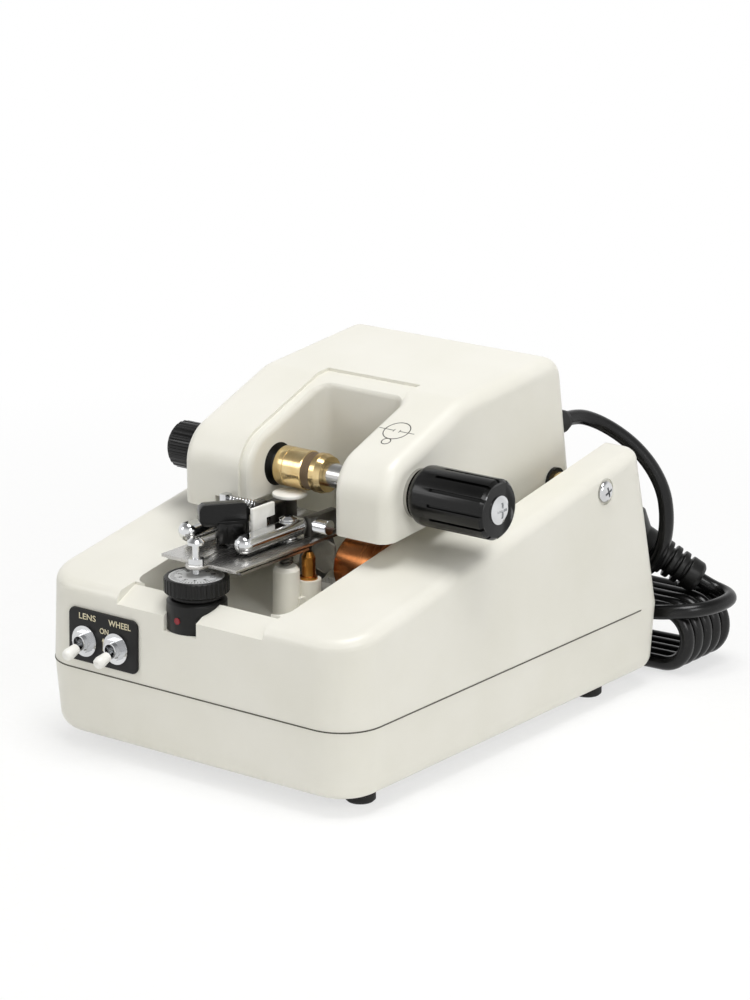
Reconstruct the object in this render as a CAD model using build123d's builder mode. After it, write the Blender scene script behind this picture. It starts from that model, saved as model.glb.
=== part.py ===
import os
from math import atan, cos, degrees, pi, radians, sin, sqrt, tan

from build123d import *

os.makedirs("parts", exist_ok=True)

# Lens groover, millimetres. X runs to the right, Y to the rear, Z up from the table.
# Sizes across the machine are counted from the housing's middle plane, sizes along it
# from the housing's front edge at the seam.

# Housing
shell_width = 160.0
shell_depth = 211.4
seam_height = 35.6
plan_radius = 18.0
rear_radius = 8.0
shell_wall = 3.0
side_draft = 1.64
rear_lean = 11.1
shoulder_front = 70.5
shoulder_slope = 10.2
rim_radius = 5.0
base_draft = 1.5
base_radius = 7.5

# Feet
foot_dia = 12.0
foot_height = 6.2
foot_side = 64.0
foot_front = 26.0
foot_rear = 180.0
foot_screw_dia = 3.5

# Well under the lens and bay under the head
well_half = 38.0
well_front = 12.0
well_corner = 6.0
tub_floor = 58.0
tub_wall = 2.6
bay_half = 62.0
bay_front = 104.0
bay_rear = 196.0
bay_rear_top = 75.0
lip_half = 37.0
lip_front = 65.6
lip_rear = 71.5

# Head
head_half = 52.5
head_front = 58.5
nose_radius = 18.0
slope_height = 124.5
slope_from = 70.0
slope_rise = 0.375
ridge_at = 110.0
top_rise = 0.09
head_top_rear = 176.5
head_rear = 184.6
head_bottom = 91.9
bottom_rise = 0.087
heel_front = 152.0
heel_bottom = 80.0
heel_slope_run = 17.0
head_wall = 3.0
head_edge = 6.0
ridge_radius = 14.0
top_rear_radius = 10.0
pocket_left = 18.0
pocket_right = 25.0
pocket_rear = 107.0
pocket_corner = 6.0
pocket_edge = 4.5
recess_depth = 1.3
recess_left = 22.5
recess_rear = 117.0
cover_thick = 2.0
fit_gap = 0.15

# Pivot of the head
pivot_y = 170.4
pivot_z = 92.5
pivot_dia = 5.0
bush_dia = 9.0
washer_dia = 12.0
screw_head_dia = 9.0
screw_head_height = 2.4
running_fit = 0.05

# Clamp axis, and the lens drive inside the left arm
clamp_y = 78.5
clamp_z = 108.9
spindle_dia = 8.0
chuck_dia = 16.2
chuck_length = 14.1
neck_dia = 11.0
neck_length = 3.0
pad_dia = 15.2
pad_thick = 2.0
pad_gap = 0.1
cap_length = 5.3
cap_end_dia = 14.5
clamp_dia = 10.0
spindle_hole = 17.6
module = 0.8
spindle_teeth = 28
pinion_teeth = 14
gear_width = 5.0
gear_side = 47.0
motor_dia = 22.0
motor_rise = 3.0
motor_shaft_dia = 3.0
left_knob_dia = 19.5
left_knob_length = 16.0
knob_gap = 1.0
clamp_knob_dia = 24.1
clamp_knob_length = 36.7
knob_washer_dia = 20.0
knob_washer_thick = 1.5
knob_screw_dia = 11.4
knob_screw_height = 1.8
flute_dia = 1.8

# Grinding wheel and its motor
wheel_y = 79.0
wheel_z = 74.0
wheel_dia = 22.0
wheel_thick = 0.8
wheel_motor_dia = 24.0
wheel_motor_length = 20.0
wheel_shaft_dia = 4.0

# Depth dial and its holder
dial_side = 5.5
dial_y = 12.4
cup_dia = 23.8
cup_bottom = 60.0
cup_top = 72.3
dial_bottom = 74.4
dial_top = 81.0
dial_dia = 25.7
dial_neck_dia = 20.0
stem_dia = 8.0
notch_left = 12.8
notch_right = 3.7

# Guide plate, its underlay and hinge
plate_top = 85.5
plate_thick = 1.2
underlay_gap = 0.5
underlay_thick = 1.0
plate_left = 25.6
plate_right = 12.4
plate_front = 15.0
plate_rear = 95.0
tab_width = 8.5
tab_reach = 4.0
slot_width = 6.0
slot_front = 64.0
hinge_dia = 3.0
hinge_knuckle_dia = 6.4

# Adjusting screw
adjust_dia = 3.0
adjust_head_dia = 6.8
adjust_top = 96.2
adjust_head_height = 2.5
adjust_nut_flats = 5.5
tip_gap = 0.1
adjust_nut_height = 2.5

# Guide arms
arm_dia = 8.2
arm_z = 90.0
arm_flat = 3.0
right_arm_side = 2.5
right_arm_front = 28.0
left_arm_side = 27.0
left_arm_front = 29.0
arm_pivot_y = 61.0

# Switches
switch_plate_left = 61.5
switch_plate_right = 25.6
switch_plate_low = 39.3
switch_plate_high = 61.1
switch_plate_thick = 1.2
switch_plate_corner = 3.0
switch_z = 48.2
lens_switch_side = 52.7
wheel_switch_side = 36.3
switch_bush_dia = 6.4
switch_bush_reach = 4.0
switch_bore_dia = 4.2
switch_washer_dia = 12.6
switch_washer_thick = 0.8
switch_nut_flats = 8.0
switch_nut_height = 2.0
switch_rest_angle = 14.0
switch_pin_dia = 1.0
switch_pin_half = 2.8
lever_dia = 2.0
sleeve_dia = 5.0
sleeve_start = 6.4
sleeve_length = 7.0

# Cords
link_cord_dia = 6.3
mains_cord_dia = 6.3

# Reach of the machine to the right and to the front, which sets the origin
knob_end = head_half + knob_washer_thick + 0.5 + clamp_knob_length
lever_reach = sleeve_start + sleeve_length
switch_pivot_in = 0.8

# Origin in the middle of the footprint: the clamp knob reaches past the right side, and the
# switch levers past the front
switch_lean = radians(side_draft)
pivot_out = switch_plate_thick - switch_pivot_in
lever_angle = radians(switch_rest_angle + side_draft)
lever_front = pivot_out + lever_reach * cos(lever_angle)
mid_x = -(knob_end + knob_screw_height - shell_width / 2) / 2
front_y = -(shell_depth - lever_front) / 2


# Places seen from the housing's own edges
def across(u):
    return mid_x + u


def along(v):
    return front_y + v


def x_axis(v, z):
    return Plane((mid_x, along(v), z), x_dir=(1, 0, 0), z_dir=(0, -1, 0))


def z_axis(u, v):
    return Plane((across(u), along(v), 0), x_dir=(0, 0, 1), z_dir=(0, 1, 0))


def side_plane(u):
    return Plane.YZ.offset(across(u))


def level(z):
    return Plane.XY.offset(z)


# A solid of revolution about the plane's X direction, from points (along, radius)
def turned(plane, outline):
    with BuildPart() as piece:
        with BuildSketch(plane):
            with BuildLine():
                Polyline(*outline, close=True)
            make_face()
        revolve(axis=Axis(plane.origin, plane.x_dir))
    return piece.part


# A round bar or tube between two places on the plane's X direction
def bar(plane, start, end, dia, bore=0.0):
    return turned(plane, [(start, bore / 2), (end, bore / 2), (end, dia / 2), (start, dia / 2)])


# A slab with its outline drawn from the side, points (along, height)
def side_slab(u0, u1, outline):
    with BuildPart() as piece:
        with BuildSketch(side_plane(u0)):
            with BuildLine():
                Polyline(*[(along(v), z) for v, z in outline], close=True)
            make_face()
        extrude(amount=u1 - u0)
    return piece.part


# A block between two corners
def block(u0, u1, v0, v1, z0, z1):
    with BuildPart() as piece:
        with BuildSketch(level(z0)):
            with Locations((across((u0 + u1) / 2), along((v0 + v1) / 2))):
                Rectangle(u1 - u0, v1 - v0)
        extrude(amount=z1 - z0)
    return piece.part


def ball(u, v, z, dia):
    with BuildPart() as piece:
        with Locations((across(u), along(v), z)):
            Sphere(dia / 2)
    return piece.part


def keep(piece, name):
    piece.part.label = name
    export_step(piece.part, f"parts/{name}.step")


shoulder_tan = tan(radians(shoulder_slope))
side_tan = tan(radians(side_draft))
rear_tan = tan(radians(rear_lean))
shell_top = shoulder_front + shoulder_tan * shell_depth


def shoulder(v):
    return shoulder_front + shoulder_tan * v


# A shell's plan, with large corners in front and small ones at the rear
def shell_plan(width, depth, inset):
    with BuildSketch() as plan:
        Rectangle(width, depth)
        fillet(plan.vertices().sort_by(Axis.Y)[:2], plan_radius - inset)
        fillet(plan.vertices().sort_by(Axis.Y)[-2:], rear_radius - inset)
    return plan.sketch


# The upper shell's outer form, or the same form drawn in by a wall
def wedge_body(inset):
    rise = shell_top - seam_height
    top_width = shell_width - 2 * side_tan * rise
    top_front = side_tan * rise
    top_rear = shell_depth - rear_tan * rise
    with BuildPart() as body:
        with BuildSketch(level(seam_height)):
            with Locations((mid_x, along(shell_depth / 2))):
                add(shell_plan(shell_width - 2 * inset, shell_depth - 2 * inset, inset))
        with BuildSketch(level(shell_top)):
            with Locations((mid_x, along((top_front + top_rear) / 2))):
                add(shell_plan(top_width - 2 * inset, top_rear - top_front - 2 * inset, inset))
        loft(ruled=True)
        with BuildSketch(Plane.YZ.offset(mid_x)):
            with BuildLine():
                drop = inset / cos(radians(shoulder_slope))
                Polyline(
                    (along(-5), shoulder(-5) - drop),
                    (along(shell_depth + 5), shoulder(shell_depth + 5) - drop),
                    (along(shell_depth + 5), shell_top + 20),
                    (along(-5), shell_top + 20),
                    close=True,
                )
            make_face()
        extrude(amount=shell_width, both=True, mode=Mode.SUBTRACT)
    return body


# The tub's plan: a narrow well in front and a wide bay behind, grown by a wall
def tub(grow, low, high):
    with BuildPart() as body:
        with BuildSketch(level(low)) as plan:
            with Locations((mid_x, along((well_front + bay_rear) / 2))):
                Rectangle(2 * (well_half + grow), bay_rear - well_front + 2 * grow)
            with Locations((mid_x, along((bay_front + bay_rear) / 2))):
                Rectangle(2 * (bay_half + grow), bay_rear - bay_front + 2 * grow)
            fillet(plan.vertices(), well_corner)
        extrude(amount=high - low)
    return body.part


# Front face of the upper shell, which leans back by its draft; X to the right, Y up the face
face_origin = (mid_x, front_y, seam_height)
front_face = Plane(face_origin, x_dir=(1, 0, 0), z_dir=(0, -cos(switch_lean), sin(switch_lean)))


def up_face(z):
    return (z - seam_height) / cos(switch_lean)


# Round bar square to the front face, from a depth behind it to a reach in front of it
def face_bar(u, z, start, end, dia, bore=0.0):
    centre = front_face.from_local_coords((u, up_face(z), 0))
    line = Plane(centre, x_dir=front_face.z_dir, z_dir=(1, 0, 0))
    return turned(line, [(start, bore / 2), (end, bore / 2), (end, dia / 2), (start, dia / 2)])


switch_sides = (-lens_switch_side, -wheel_switch_side)
# Link cable: its grommets on the head's rear and on the housing's rear
grommet_out = 6.0
grommet_short = 3.0
grommet_dia = 10.0
link_u = 46.0
link_z = 114.0
link_base_u = 60.0
link_base_z = 41.0
link_base_v = shell_depth - rear_tan * (link_base_z - seam_height)
base_line = Plane((across(link_base_u), front_y, link_base_z), x_dir=(0, 1, 0), z_dir=(1, 0, 0))
rear_line = Plane((across(link_u), front_y, link_z), x_dir=(0, 1, 0), z_dir=(1, 0, 0))

pivot_line = x_axis(pivot_y, pivot_z)
cheek_out = shell_width / 2 - side_tan * (pivot_z - seam_height)
screw_seat = cheek_out - 0.8
buffer_side = 44.0
buffer_y = heel_front + 5
buffer_dia = 12.0
buffer_height = 4.0
buffer_gap = 0.1

# Posts in the well, for the plate's spring and for the brass column
post_a = z_axis(7.5, 51.5)
post_b = z_axis(12.0, 60.0)
post_a_top = 77.5
post_b_top = 71.0
post_b_dia = 10.0
plate_spring_dia = 5.7
plate_spring_wire = 0.8
plate_spring_turns = 3

# Upper shell: a hollow wedge with the tub let into it
hollow = wedge_body(shell_wall)
with BuildPart() as shell_hollow:
    add(hollow.part)
    add(tub(tub_wall, tub_floor - tub_wall, shell_top), mode=Mode.SUBTRACT)
    for side in (-1, 1):
        add(bar(pivot_line, side * bay_half, side * cheek_out, screw_head_dia + 6), mode=Mode.SUBTRACT)
    add(bar(z_axis(-dial_side, dial_y), tub_floor - 2, shell_top, cup_dia + 3), mode=Mode.SUBTRACT)
    lip_wall = lip_half + shell_wall
    add(block(-lip_wall, lip_wall, -5, well_front, lip_front - shell_wall, shell_top), mode=Mode.SUBTRACT)
    rear_wall = bay_half + shell_wall
    rear_low = bay_rear_top - shell_wall
    add(block(-rear_wall, rear_wall, bay_rear - 12, shell_depth + 5, rear_low, shell_top), mode=Mode.SUBTRACT)

wedge = wedge_body(0)
with BuildPart() as upper_shell:
    add(wedge.part)
    fillet(upper_shell.faces().sort_by(Axis.Z)[-1].edges(), rim_radius)
    add(shell_hollow.part, mode=Mode.SUBTRACT)
    add(tub(0, tub_floor, shell_top + 5), mode=Mode.SUBTRACT)
    add(block(-bay_half, bay_half, bay_rear - 12, shell_depth + 5, bay_rear_top, shell_top + 5), mode=Mode.SUBTRACT)
    lip = [(-5, lip_front - 5 * (lip_rear - lip_front) / well_front), (well_front, lip_rear), (well_front, 90), (-5, 90)]
    add(side_slab(-lip_half, lip_half, lip), mode=Mode.SUBTRACT)
    add(block(-notch_left, notch_right, -5, well_front, cup_bottom, shell_top), mode=Mode.SUBTRACT)
    add(bar(z_axis(-dial_side, dial_y), cup_bottom, shell_top, cup_dia + 0.2), mode=Mode.SUBTRACT)
    add(bar(z_axis(-dial_side, dial_y), tub_floor - 10, shell_top, stem_dia + 2 * running_fit), mode=Mode.SUBTRACT)
    for side in (-1, 1):
        add(bar(pivot_line, side * bay_half, side * (cheek_out + 3), pivot_dia), mode=Mode.SUBTRACT)
        add(bar(pivot_line, side * screw_seat, side * (cheek_out + 3), screw_head_dia + 2), mode=Mode.SUBTRACT)
        post = z_axis(side * buffer_side, buffer_y)
        add(bar(post, tub_floor - tub_wall, heel_bottom - buffer_height - buffer_gap, buffer_dia))
    add(turned(post_a, [(tub_floor - 1, 0), (tub_floor - 1, 5.6), (tub_floor, 5.6), (post_a_top - 1.5, 5.3),
                        (post_a_top, 4.2), (post_a_top, 0)]))
    add(bar(post_b, tub_floor - 1, post_b_top, post_b_dia))
    add(block(10, 14, 52, 60, tub_floor - 1, post_b_top - 6))
    for u in switch_sides:
        add(face_bar(u, switch_z, -shell_wall - 3, 1, switch_bush_dia), mode=Mode.SUBTRACT)
    add(bar(base_line, bay_rear + tub_wall + 1, shell_depth + 5, grommet_dia), mode=Mode.SUBTRACT)
keep(upper_shell, "upper_shell")

# Lower shell: an open tray that carries the feet
base_depth = seam_height - foot_height
gland_u = -56.0
gland_z = 18.0
gland_dia = 12.0
gland_out = 10.0
gland_v = shell_depth - base_draft * (seam_height - gland_z) / base_depth
gland_line = Plane((across(gland_u), front_y, gland_z), x_dir=(0, 1, 0), z_dir=(1, 0, 0))
with BuildPart() as lower_shell:
    with BuildSketch(level(foot_height)):
        with Locations((mid_x, along(shell_depth / 2))):
            add(shell_plan(shell_width - 2 * base_draft, shell_depth - 2 * base_draft, 0))
    with BuildSketch(level(seam_height)):
        with Locations((mid_x, along(shell_depth / 2))):
            add(shell_plan(shell_width, shell_depth, 0))
    loft(ruled=True)
    fillet(lower_shell.faces().sort_by(Axis.Z)[0].edges(), base_radius)
    with BuildSketch(level(foot_height + shell_wall)):
        with Locations((mid_x, along(shell_depth / 2))):
            inner = 2 * (base_draft + shell_wall)
            add(shell_plan(shell_width - inner, shell_depth - inner, shell_wall))
    extrude(amount=seam_height, mode=Mode.SUBTRACT)
    for side in (-1, 1):
        for v in (foot_front, foot_rear):
            foot_line = z_axis(side * foot_side, v)
            add(bar(foot_line, foot_height, foot_height + 9, foot_screw_dia + 5))
            add(bar(foot_line, foot_height - 1, foot_height + 7, foot_screw_dia), mode=Mode.SUBTRACT)
    add(bar(gland_line, shell_depth - base_draft - shell_wall - 2, shell_depth + 5, gland_dia), mode=Mode.SUBTRACT)
keep(lower_shell, "lower_shell")

# Rubber feet, each held by a screw sunk into it, and the buffers that the head rests on
foot_seat = 2.5
foot_rim = 0.8
foot_lines = [z_axis(side * foot_side, v) for side in (-1, 1) for v in (foot_front, foot_rear)]
with BuildPart() as rubber_feet:
    outer = foot_dia / 2
    for line in foot_lines:
        add(turned(line, [(0, foot_screw_dia / 2), (0, outer - foot_rim), (foot_rim, outer), (foot_height, outer),
                          (foot_height, foot_screw_dia / 2)]))
        add(bar(line, 0, foot_seat, 7.0), mode=Mode.SUBTRACT)
    for side in (-1, 1):
        post = z_axis(side * buffer_side, buffer_y)
        add(bar(post, heel_bottom - buffer_height - buffer_gap, heel_bottom - buffer_gap, buffer_dia - 2))
keep(rubber_feet, "rubber_feet")
with BuildPart() as foot_screws:
    for line in foot_lines:
        add(bar(line, foot_seat - 1.6, foot_seat, 6.4))
        add(bar(line, foot_seat, foot_height + 7, foot_screw_dia))
keep(foot_screws, "foot_screws")

# Black plate behind the switches
with BuildPart() as switch_plate:
    with BuildSketch(front_face):
        with Locations(((-(switch_plate_left + switch_plate_right)) / 2, up_face((switch_plate_low + switch_plate_high) / 2))):
            RectangleRounded(
                switch_plate_left - switch_plate_right, switch_plate_high - switch_plate_low, switch_plate_corner
            )
    extrude(amount=switch_plate_thick)
    chamfer(switch_plate.faces().sort_by(Axis.Y)[0].edges(), 0.3)
    for u in switch_sides:
        add(face_bar(u, switch_z, -1, switch_plate_thick + 1, switch_bush_dia), mode=Mode.SUBTRACT)
keep(switch_plate, "switch_plate")



# The pin through a switch's bushing that its lever turns on
def lever_pivot(u):
    return Plane(front_face.from_local_coords((u, up_face(switch_z), pivot_out)), x_dir=(1, 0, 0), z_dir=(0, -1, 0))


# Switches: body behind the wall, bushing through it, lever on a ball in the bushing
switch_body_depth = 10.0
switch_body_width = 8.0
switch_body_height = 13.0
ball_dia = switch_bore_dia - 2 * running_fit
mouth = switch_plate_thick + switch_bush_reach
washer_top = switch_plate_thick + switch_washer_thick
with BuildPart() as switch_bodies:
    for u in switch_sides:
        with BuildSketch(front_face.offset(-shell_wall)):
            with Locations((u, up_face(switch_z))):
                Rectangle(switch_body_width, switch_body_height)
        extrude(amount=-switch_body_depth)
        add(face_bar(u, switch_z, -shell_wall, mouth, switch_bush_dia))
        add(face_bar(u, switch_z, -shell_wall, mouth, switch_bore_dia), mode=Mode.SUBTRACT)
        centre = front_face.from_local_coords((u, up_face(switch_z), 0))
        line = Plane(centre, x_dir=front_face.z_dir, z_dir=(1, 0, 0))
        cone = [(pivot_out + 1, 0), (pivot_out + 1, switch_bore_dia / 2), (mouth, 2.6), (mouth, 0)]
        add(turned(line, cone), mode=Mode.SUBTRACT)
        pin_bore = switch_pin_dia + 2 * running_fit
        pin_end = switch_pin_half + running_fit
        add(bar(lever_pivot(u), -pin_end, pin_end, pin_bore), mode=Mode.SUBTRACT)
keep(switch_bodies, "switch_bodies")
with BuildPart() as switch_nuts:
    for u in switch_sides:
        add(face_bar(u, switch_z, switch_plate_thick, washer_top, switch_washer_dia, switch_bush_dia))
        with BuildSketch(front_face.offset(washer_top)):
            with Locations((u, up_face(switch_z))):
                RegularPolygon(switch_nut_flats / 2, 6, major_radius=False)
                Circle(switch_bush_dia / 2, mode=Mode.SUBTRACT)
        extrude(amount=switch_nut_height)
keep(switch_nuts, "switch_nuts")
for name, u in (("lens", -lens_switch_side), ("wheel", -wheel_switch_side)):
    centre = front_face.from_local_coords((u, up_face(switch_z), pivot_out))
    tilt = lever_angle
    lever_line = Plane(centre, x_dir=(0, -cos(tilt), -sin(tilt)), z_dir=(1, 0, 0))
    with BuildPart() as lever:
        with Locations(centre):
            Sphere(ball_dia / 2)
        add(bar(lever_line, 0, lever_reach - 2, lever_dia))
        add(bar(lever_pivot(u), -switch_pin_half, switch_pin_half, switch_pin_dia))
    keep(lever, f"{name}_toggle")
    with BuildPart() as sleeve:
        half = sleeve_dia / 2
        tip = lever_reach
        add(turned(lever_line, [(sleeve_start, lever_dia / 2), (sleeve_start, half - 0.5), (tip - 2.5, half),
                                (tip - 1, half - 0.3), (tip - 0.3, half - 1), (tip, 0), (tip - 2, 0),
                                (tip - 2, lever_dia / 2)]))
    keep(sleeve, f"{name}_toggle_sleeve")

# Dial holder: a cup let into the front lip, bored for the dial's stem
dial_line = z_axis(-dial_side, dial_y)
stem_bore = stem_dia + 2 * running_fit
dot_dia = 2.7
dot_z = 65.4
dot_place = (across(-dial_side), along(dial_y - cup_dia / 2), dot_z)
dot_line = Plane(dot_place, x_dir=(0, -1, 0), z_dir=(1, 0, 0))
with BuildPart() as dial_holder:
    cup = cup_dia / 2
    add(turned(dial_line, [(cup_bottom, stem_bore / 2), (cup_bottom, cup), (cup_top - 1, cup), (cup_top, cup - 1),
                           (cup_top, stem_bore / 2)]))
    add(bar(dot_line, -0.6, 1, dot_dia), mode=Mode.SUBTRACT)
keep(dial_holder, "dial_holder")
with BuildPart() as index_dot:
    add(bar(dot_line, -0.6, 0.25, dot_dia))
keep(index_dot, "index_dot")

# Sealing ring, which rises with the dial and doesn't turn
ring_thick = 2.1
with BuildPart() as dial_ring:
    outer = dial_neck_dia / 2
    low = dial_bottom - ring_thick
    add(turned(dial_line, [(low + 0.05, stem_bore / 2), (low + 0.05, outer - 0.6), (low + 0.6, outer),
                           (dial_bottom - 0.7, outer), (dial_bottom - 0.05, outer - 0.6),
                           (dial_bottom - 0.05, stem_bore / 2)]))
keep(dial_ring, "dial_ring")

# Depth dial with a fluted rim and its stem
dial_flutes = 36
stem_bottom = tub_floor - 4
with BuildPart() as depth_dial:
    outer = dial_dia / 2
    add(turned(dial_line, [(stem_bottom, 0), (stem_bottom, stem_dia / 2), (dial_bottom, stem_dia / 2),
                           (dial_bottom, outer - 1), (dial_bottom + 0.8, outer), (dial_top - 0.6, outer),
                           (dial_top, outer - 0.6), (dial_top, outer - 1.8), (dial_top - 0.5, outer - 1.8),
                           (dial_top - 0.5, 0)]))
    with BuildSketch(level(dial_bottom)):
        with Locations((across(-dial_side), along(dial_y))):
            with PolarLocations(outer + 0.35, dial_flutes):
                Circle(0.75)
    extrude(amount=dial_top - dial_bottom, mode=Mode.SUBTRACT)
keep(depth_dial, "depth_dial")
with BuildPart() as dial_face:
    add(bar(dial_line, dial_top - 0.5, dial_top - 0.1, dial_dia - 3.8))
keep(dial_face, "dial_face")

# Adjusting screw and its lock nut on the plate's tab
screw_tip = dial_top + tip_gap
with BuildPart() as adjust_screw:
    head = adjust_head_dia / 2
    low = adjust_top - adjust_head_height
    shank = adjust_dia / 2
    add(turned(dial_line, [(screw_tip, 0), (screw_tip, 0.8), (screw_tip + 0.7, shank), (low, shank), (low, head),
                           (low + 1.1, head), (adjust_top - 0.5, head - 0.9), (adjust_top, head - 2), (adjust_top, 0)]))
    with BuildSketch(level(adjust_top - 1)):
        with Locations((across(-dial_side), along(dial_y))):
            Rectangle(3.4, 0.8)
            Rectangle(0.8, 3.4)
    extrude(amount=2, mode=Mode.SUBTRACT)
    with BuildSketch(level(plate_top)):
        with Locations((across(-dial_side), along(dial_y))):
            RegularPolygon(adjust_nut_flats / 2, 6, major_radius=False)
    extrude(amount=adjust_nut_height)
keep(adjust_screw, "adjust_screw")

# Pivots of the two guide arms on the plate
right_pivot = (1.1, arm_pivot_y)
left_pivot = (-14.0, 63.0)
screw_bore = 3.0

# Guide plate with the tab for the adjusting screw, the slot over the wheel and hinge knuckles
plate_low = plate_top - plate_thick
hinge_y = plate_rear + 1.5
hinge_z = plate_low - hinge_knuckle_dia / 2 + 1.0
hinge_line = x_axis(hinge_y, hinge_z)
lens_plane = (-1.0 + 3.2) / 2
with BuildPart() as guide_plate:
    with BuildSketch(level(plate_low)):
        with Locations((across((plate_right - plate_left) / 2), along((plate_front + plate_rear) / 2))):
            Rectangle(plate_left + plate_right, plate_rear - plate_front)
        with Locations((across(-dial_side), along(plate_front))):
            Rectangle(tab_width, 2 * tab_reach - 2)
        with Locations((across(-dial_side), along(dial_y))):
            Circle(tab_width / 2)
        with Locations((across(-dial_side), along(dial_y))):
            Circle(adjust_dia / 2, mode=Mode.SUBTRACT)
        with Locations((across(lens_plane), along((slot_front + plate_rear) / 2))):
            Rectangle(slot_width, plate_rear - slot_front + 1, mode=Mode.SUBTRACT)
        with Locations((across(right_pivot[0]), along(right_pivot[1])), (across(left_pivot[0]), along(left_pivot[1]))):
            Circle(screw_bore / 2, mode=Mode.SUBTRACT)
    extrude(amount=plate_thick)
    for u0, u1 in ((-plate_left, -plate_left + 12), (plate_right - 8, plate_right)):
        add(bar(hinge_line, u0, u1, hinge_knuckle_dia))
        add(block(u0, u1, plate_rear - 2, hinge_y, plate_low, plate_top))
    add(bar(hinge_line, -plate_left - 1, plate_right + 1, hinge_dia + 2 * running_fit), mode=Mode.SUBTRACT)
keep(guide_plate, "guide_plate")

# Underlay of the guide plate on small spacers
underlay_top = plate_low - underlay_gap
underlay_low = underlay_top - underlay_thick
underlay_rear = 60.0
with BuildPart() as plate_underlay:
    with BuildSketch(level(underlay_low)):
        with Locations((across((plate_right - plate_left) / 2), along((plate_front + 3 + underlay_rear) / 2))):
            Rectangle(plate_left + plate_right, underlay_rear - plate_front - 3)
    extrude(amount=underlay_thick)
    for u in (-plate_left + 5, plate_right - 5):
        for v in (plate_front + 8, underlay_rear - 5):
            add(bar(z_axis(u, v), underlay_top, plate_low, 5.0))
keep(plate_underlay, "plate_underlay")

# Hinge bracket of the plate: a base on the tub's floor with two uprights, and the pin
bracket_thick = 2.5
bracket_gap = 0.4
bracket_right = plate_right + bracket_gap
bracket_left = -plate_left - bracket_gap
with BuildPart() as hinge_bracket:
    add(block(bracket_left - bracket_thick, bracket_right + bracket_thick, hinge_y - 5, hinge_y + 7,
              tub_floor, tub_floor + bracket_thick))
    for u in (bracket_left - bracket_thick, bracket_right):
        top = hinge_z + 4
        upright = [(hinge_y - 5, tub_floor), (hinge_y - 5, top - 3), (hinge_y - 2, top), (hinge_y + 2, top),
                   (hinge_y + 5, top - 3), (hinge_y + 7, tub_floor)]
        add(side_slab(u, u + bracket_thick, upright))
    add(bar(hinge_line, bracket_left - 5, bracket_right + 5, hinge_dia), mode=Mode.SUBTRACT)
    add(bar(hinge_line, bracket_left - bracket_thick - 1, bracket_right + bracket_thick + 1, hinge_dia))
keep(hinge_bracket, "hinge_bracket")

# Brass column on the rear post
column_dia = 5.6
column_top = underlay_low - 0.6
with BuildPart() as brass_column:
    add(turned(post_b, [(post_b_top, 0), (post_b_top, 3.6), (post_b_top + 1.2, 3.6), (post_b_top + 1.2, column_dia / 2),
                        (column_top - 2, column_dia / 2), (column_top, 1.6), (column_top, 0)]))
keep(brass_column, "brass_column")

# Wheel motor on the well's right wall, its shaft and the grinding wheel in the lens plane
wheel_line = x_axis(wheel_y, wheel_z)
motor_end = well_half
motor_start = motor_end - wheel_motor_length
with BuildPart() as wheel_motor:
    outer = wheel_motor_dia / 2
    bore = wheel_shaft_dia / 2 + running_fit
    add(turned(wheel_line, [(motor_start + 2, bore), (motor_start - 1, bore), (motor_start - 1, 5), (motor_start, 5),
                            (motor_start, outer - 1.2), (motor_start + 1.2, outer), (motor_end, outer),
                            (motor_end, 0), (motor_start + 2, 0)]))
keep(wheel_motor, "wheel_motor")
hub_dia = 9.0
hub_half = 2.6
half_thick = wheel_thick / 2
with BuildPart() as wheel_shaft:
    shaft = wheel_shaft_dia / 2
    add(turned(wheel_line, [(lens_plane - 5, 0), (lens_plane - 5, shaft), (lens_plane + half_thick, shaft),
                            (lens_plane + half_thick, hub_dia / 2), (lens_plane + hub_half, hub_dia / 2),
                            (lens_plane + hub_half, shaft), (motor_start + 2 - 0.2, shaft), (motor_start + 2 - 0.2, 0)]))
    with BuildSketch(side_plane(lens_plane - half_thick)):
        with Locations((along(wheel_y), wheel_z)):
            RegularPolygon(3.5, 6, major_radius=False)
    extrude(amount=-2.4)
keep(wheel_shaft, "wheel_shaft")
with BuildPart() as grinding_wheel:
    add(bar(wheel_line, lens_plane - half_thick, lens_plane + half_thick, wheel_dia, wheel_shaft_dia))
keep(grinding_wheel, "grinding_wheel")

# Blocks that carry the nylon strip, and the spring between them and the left arm
carrier_top = 99.0
strip_thick = 1.6
strip_side = -3.2
spring_y = 55.0
spring_z = 98.5
spring_dia = 3.6
spring_wire = 0.8
spring_turns = 9
spring_left = -24.5
spring_right = -9.5
peg_dia = 1.8
peg_length = 3.0
spring_line = x_axis(spring_y, spring_z)

# Guide arms: chromed rods with a round nose and a flat on top, swinging on pivot screws
arm_top = arm_z + arm_flat
arm_low = arm_z - arm_dia / 2
lever_thick = 2.5


def arm_rod(u, v0, v1):
    rod_line = Plane((across(u), front_y, arm_z), x_dir=(0, 1, 0), z_dir=(1, 0, 0))
    radius = arm_dia / 2
    with BuildPart() as rod:
        add(bar(rod_line, v0 + radius, v1, arm_dia))
        add(ball(u, v0 + radius, arm_z, arm_dia))
        add(block(u - arm_dia, u + arm_dia, v0 + 2.5, v1 + 1, arm_top, arm_top + 5), mode=Mode.SUBTRACT)
    return rod.part


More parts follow.
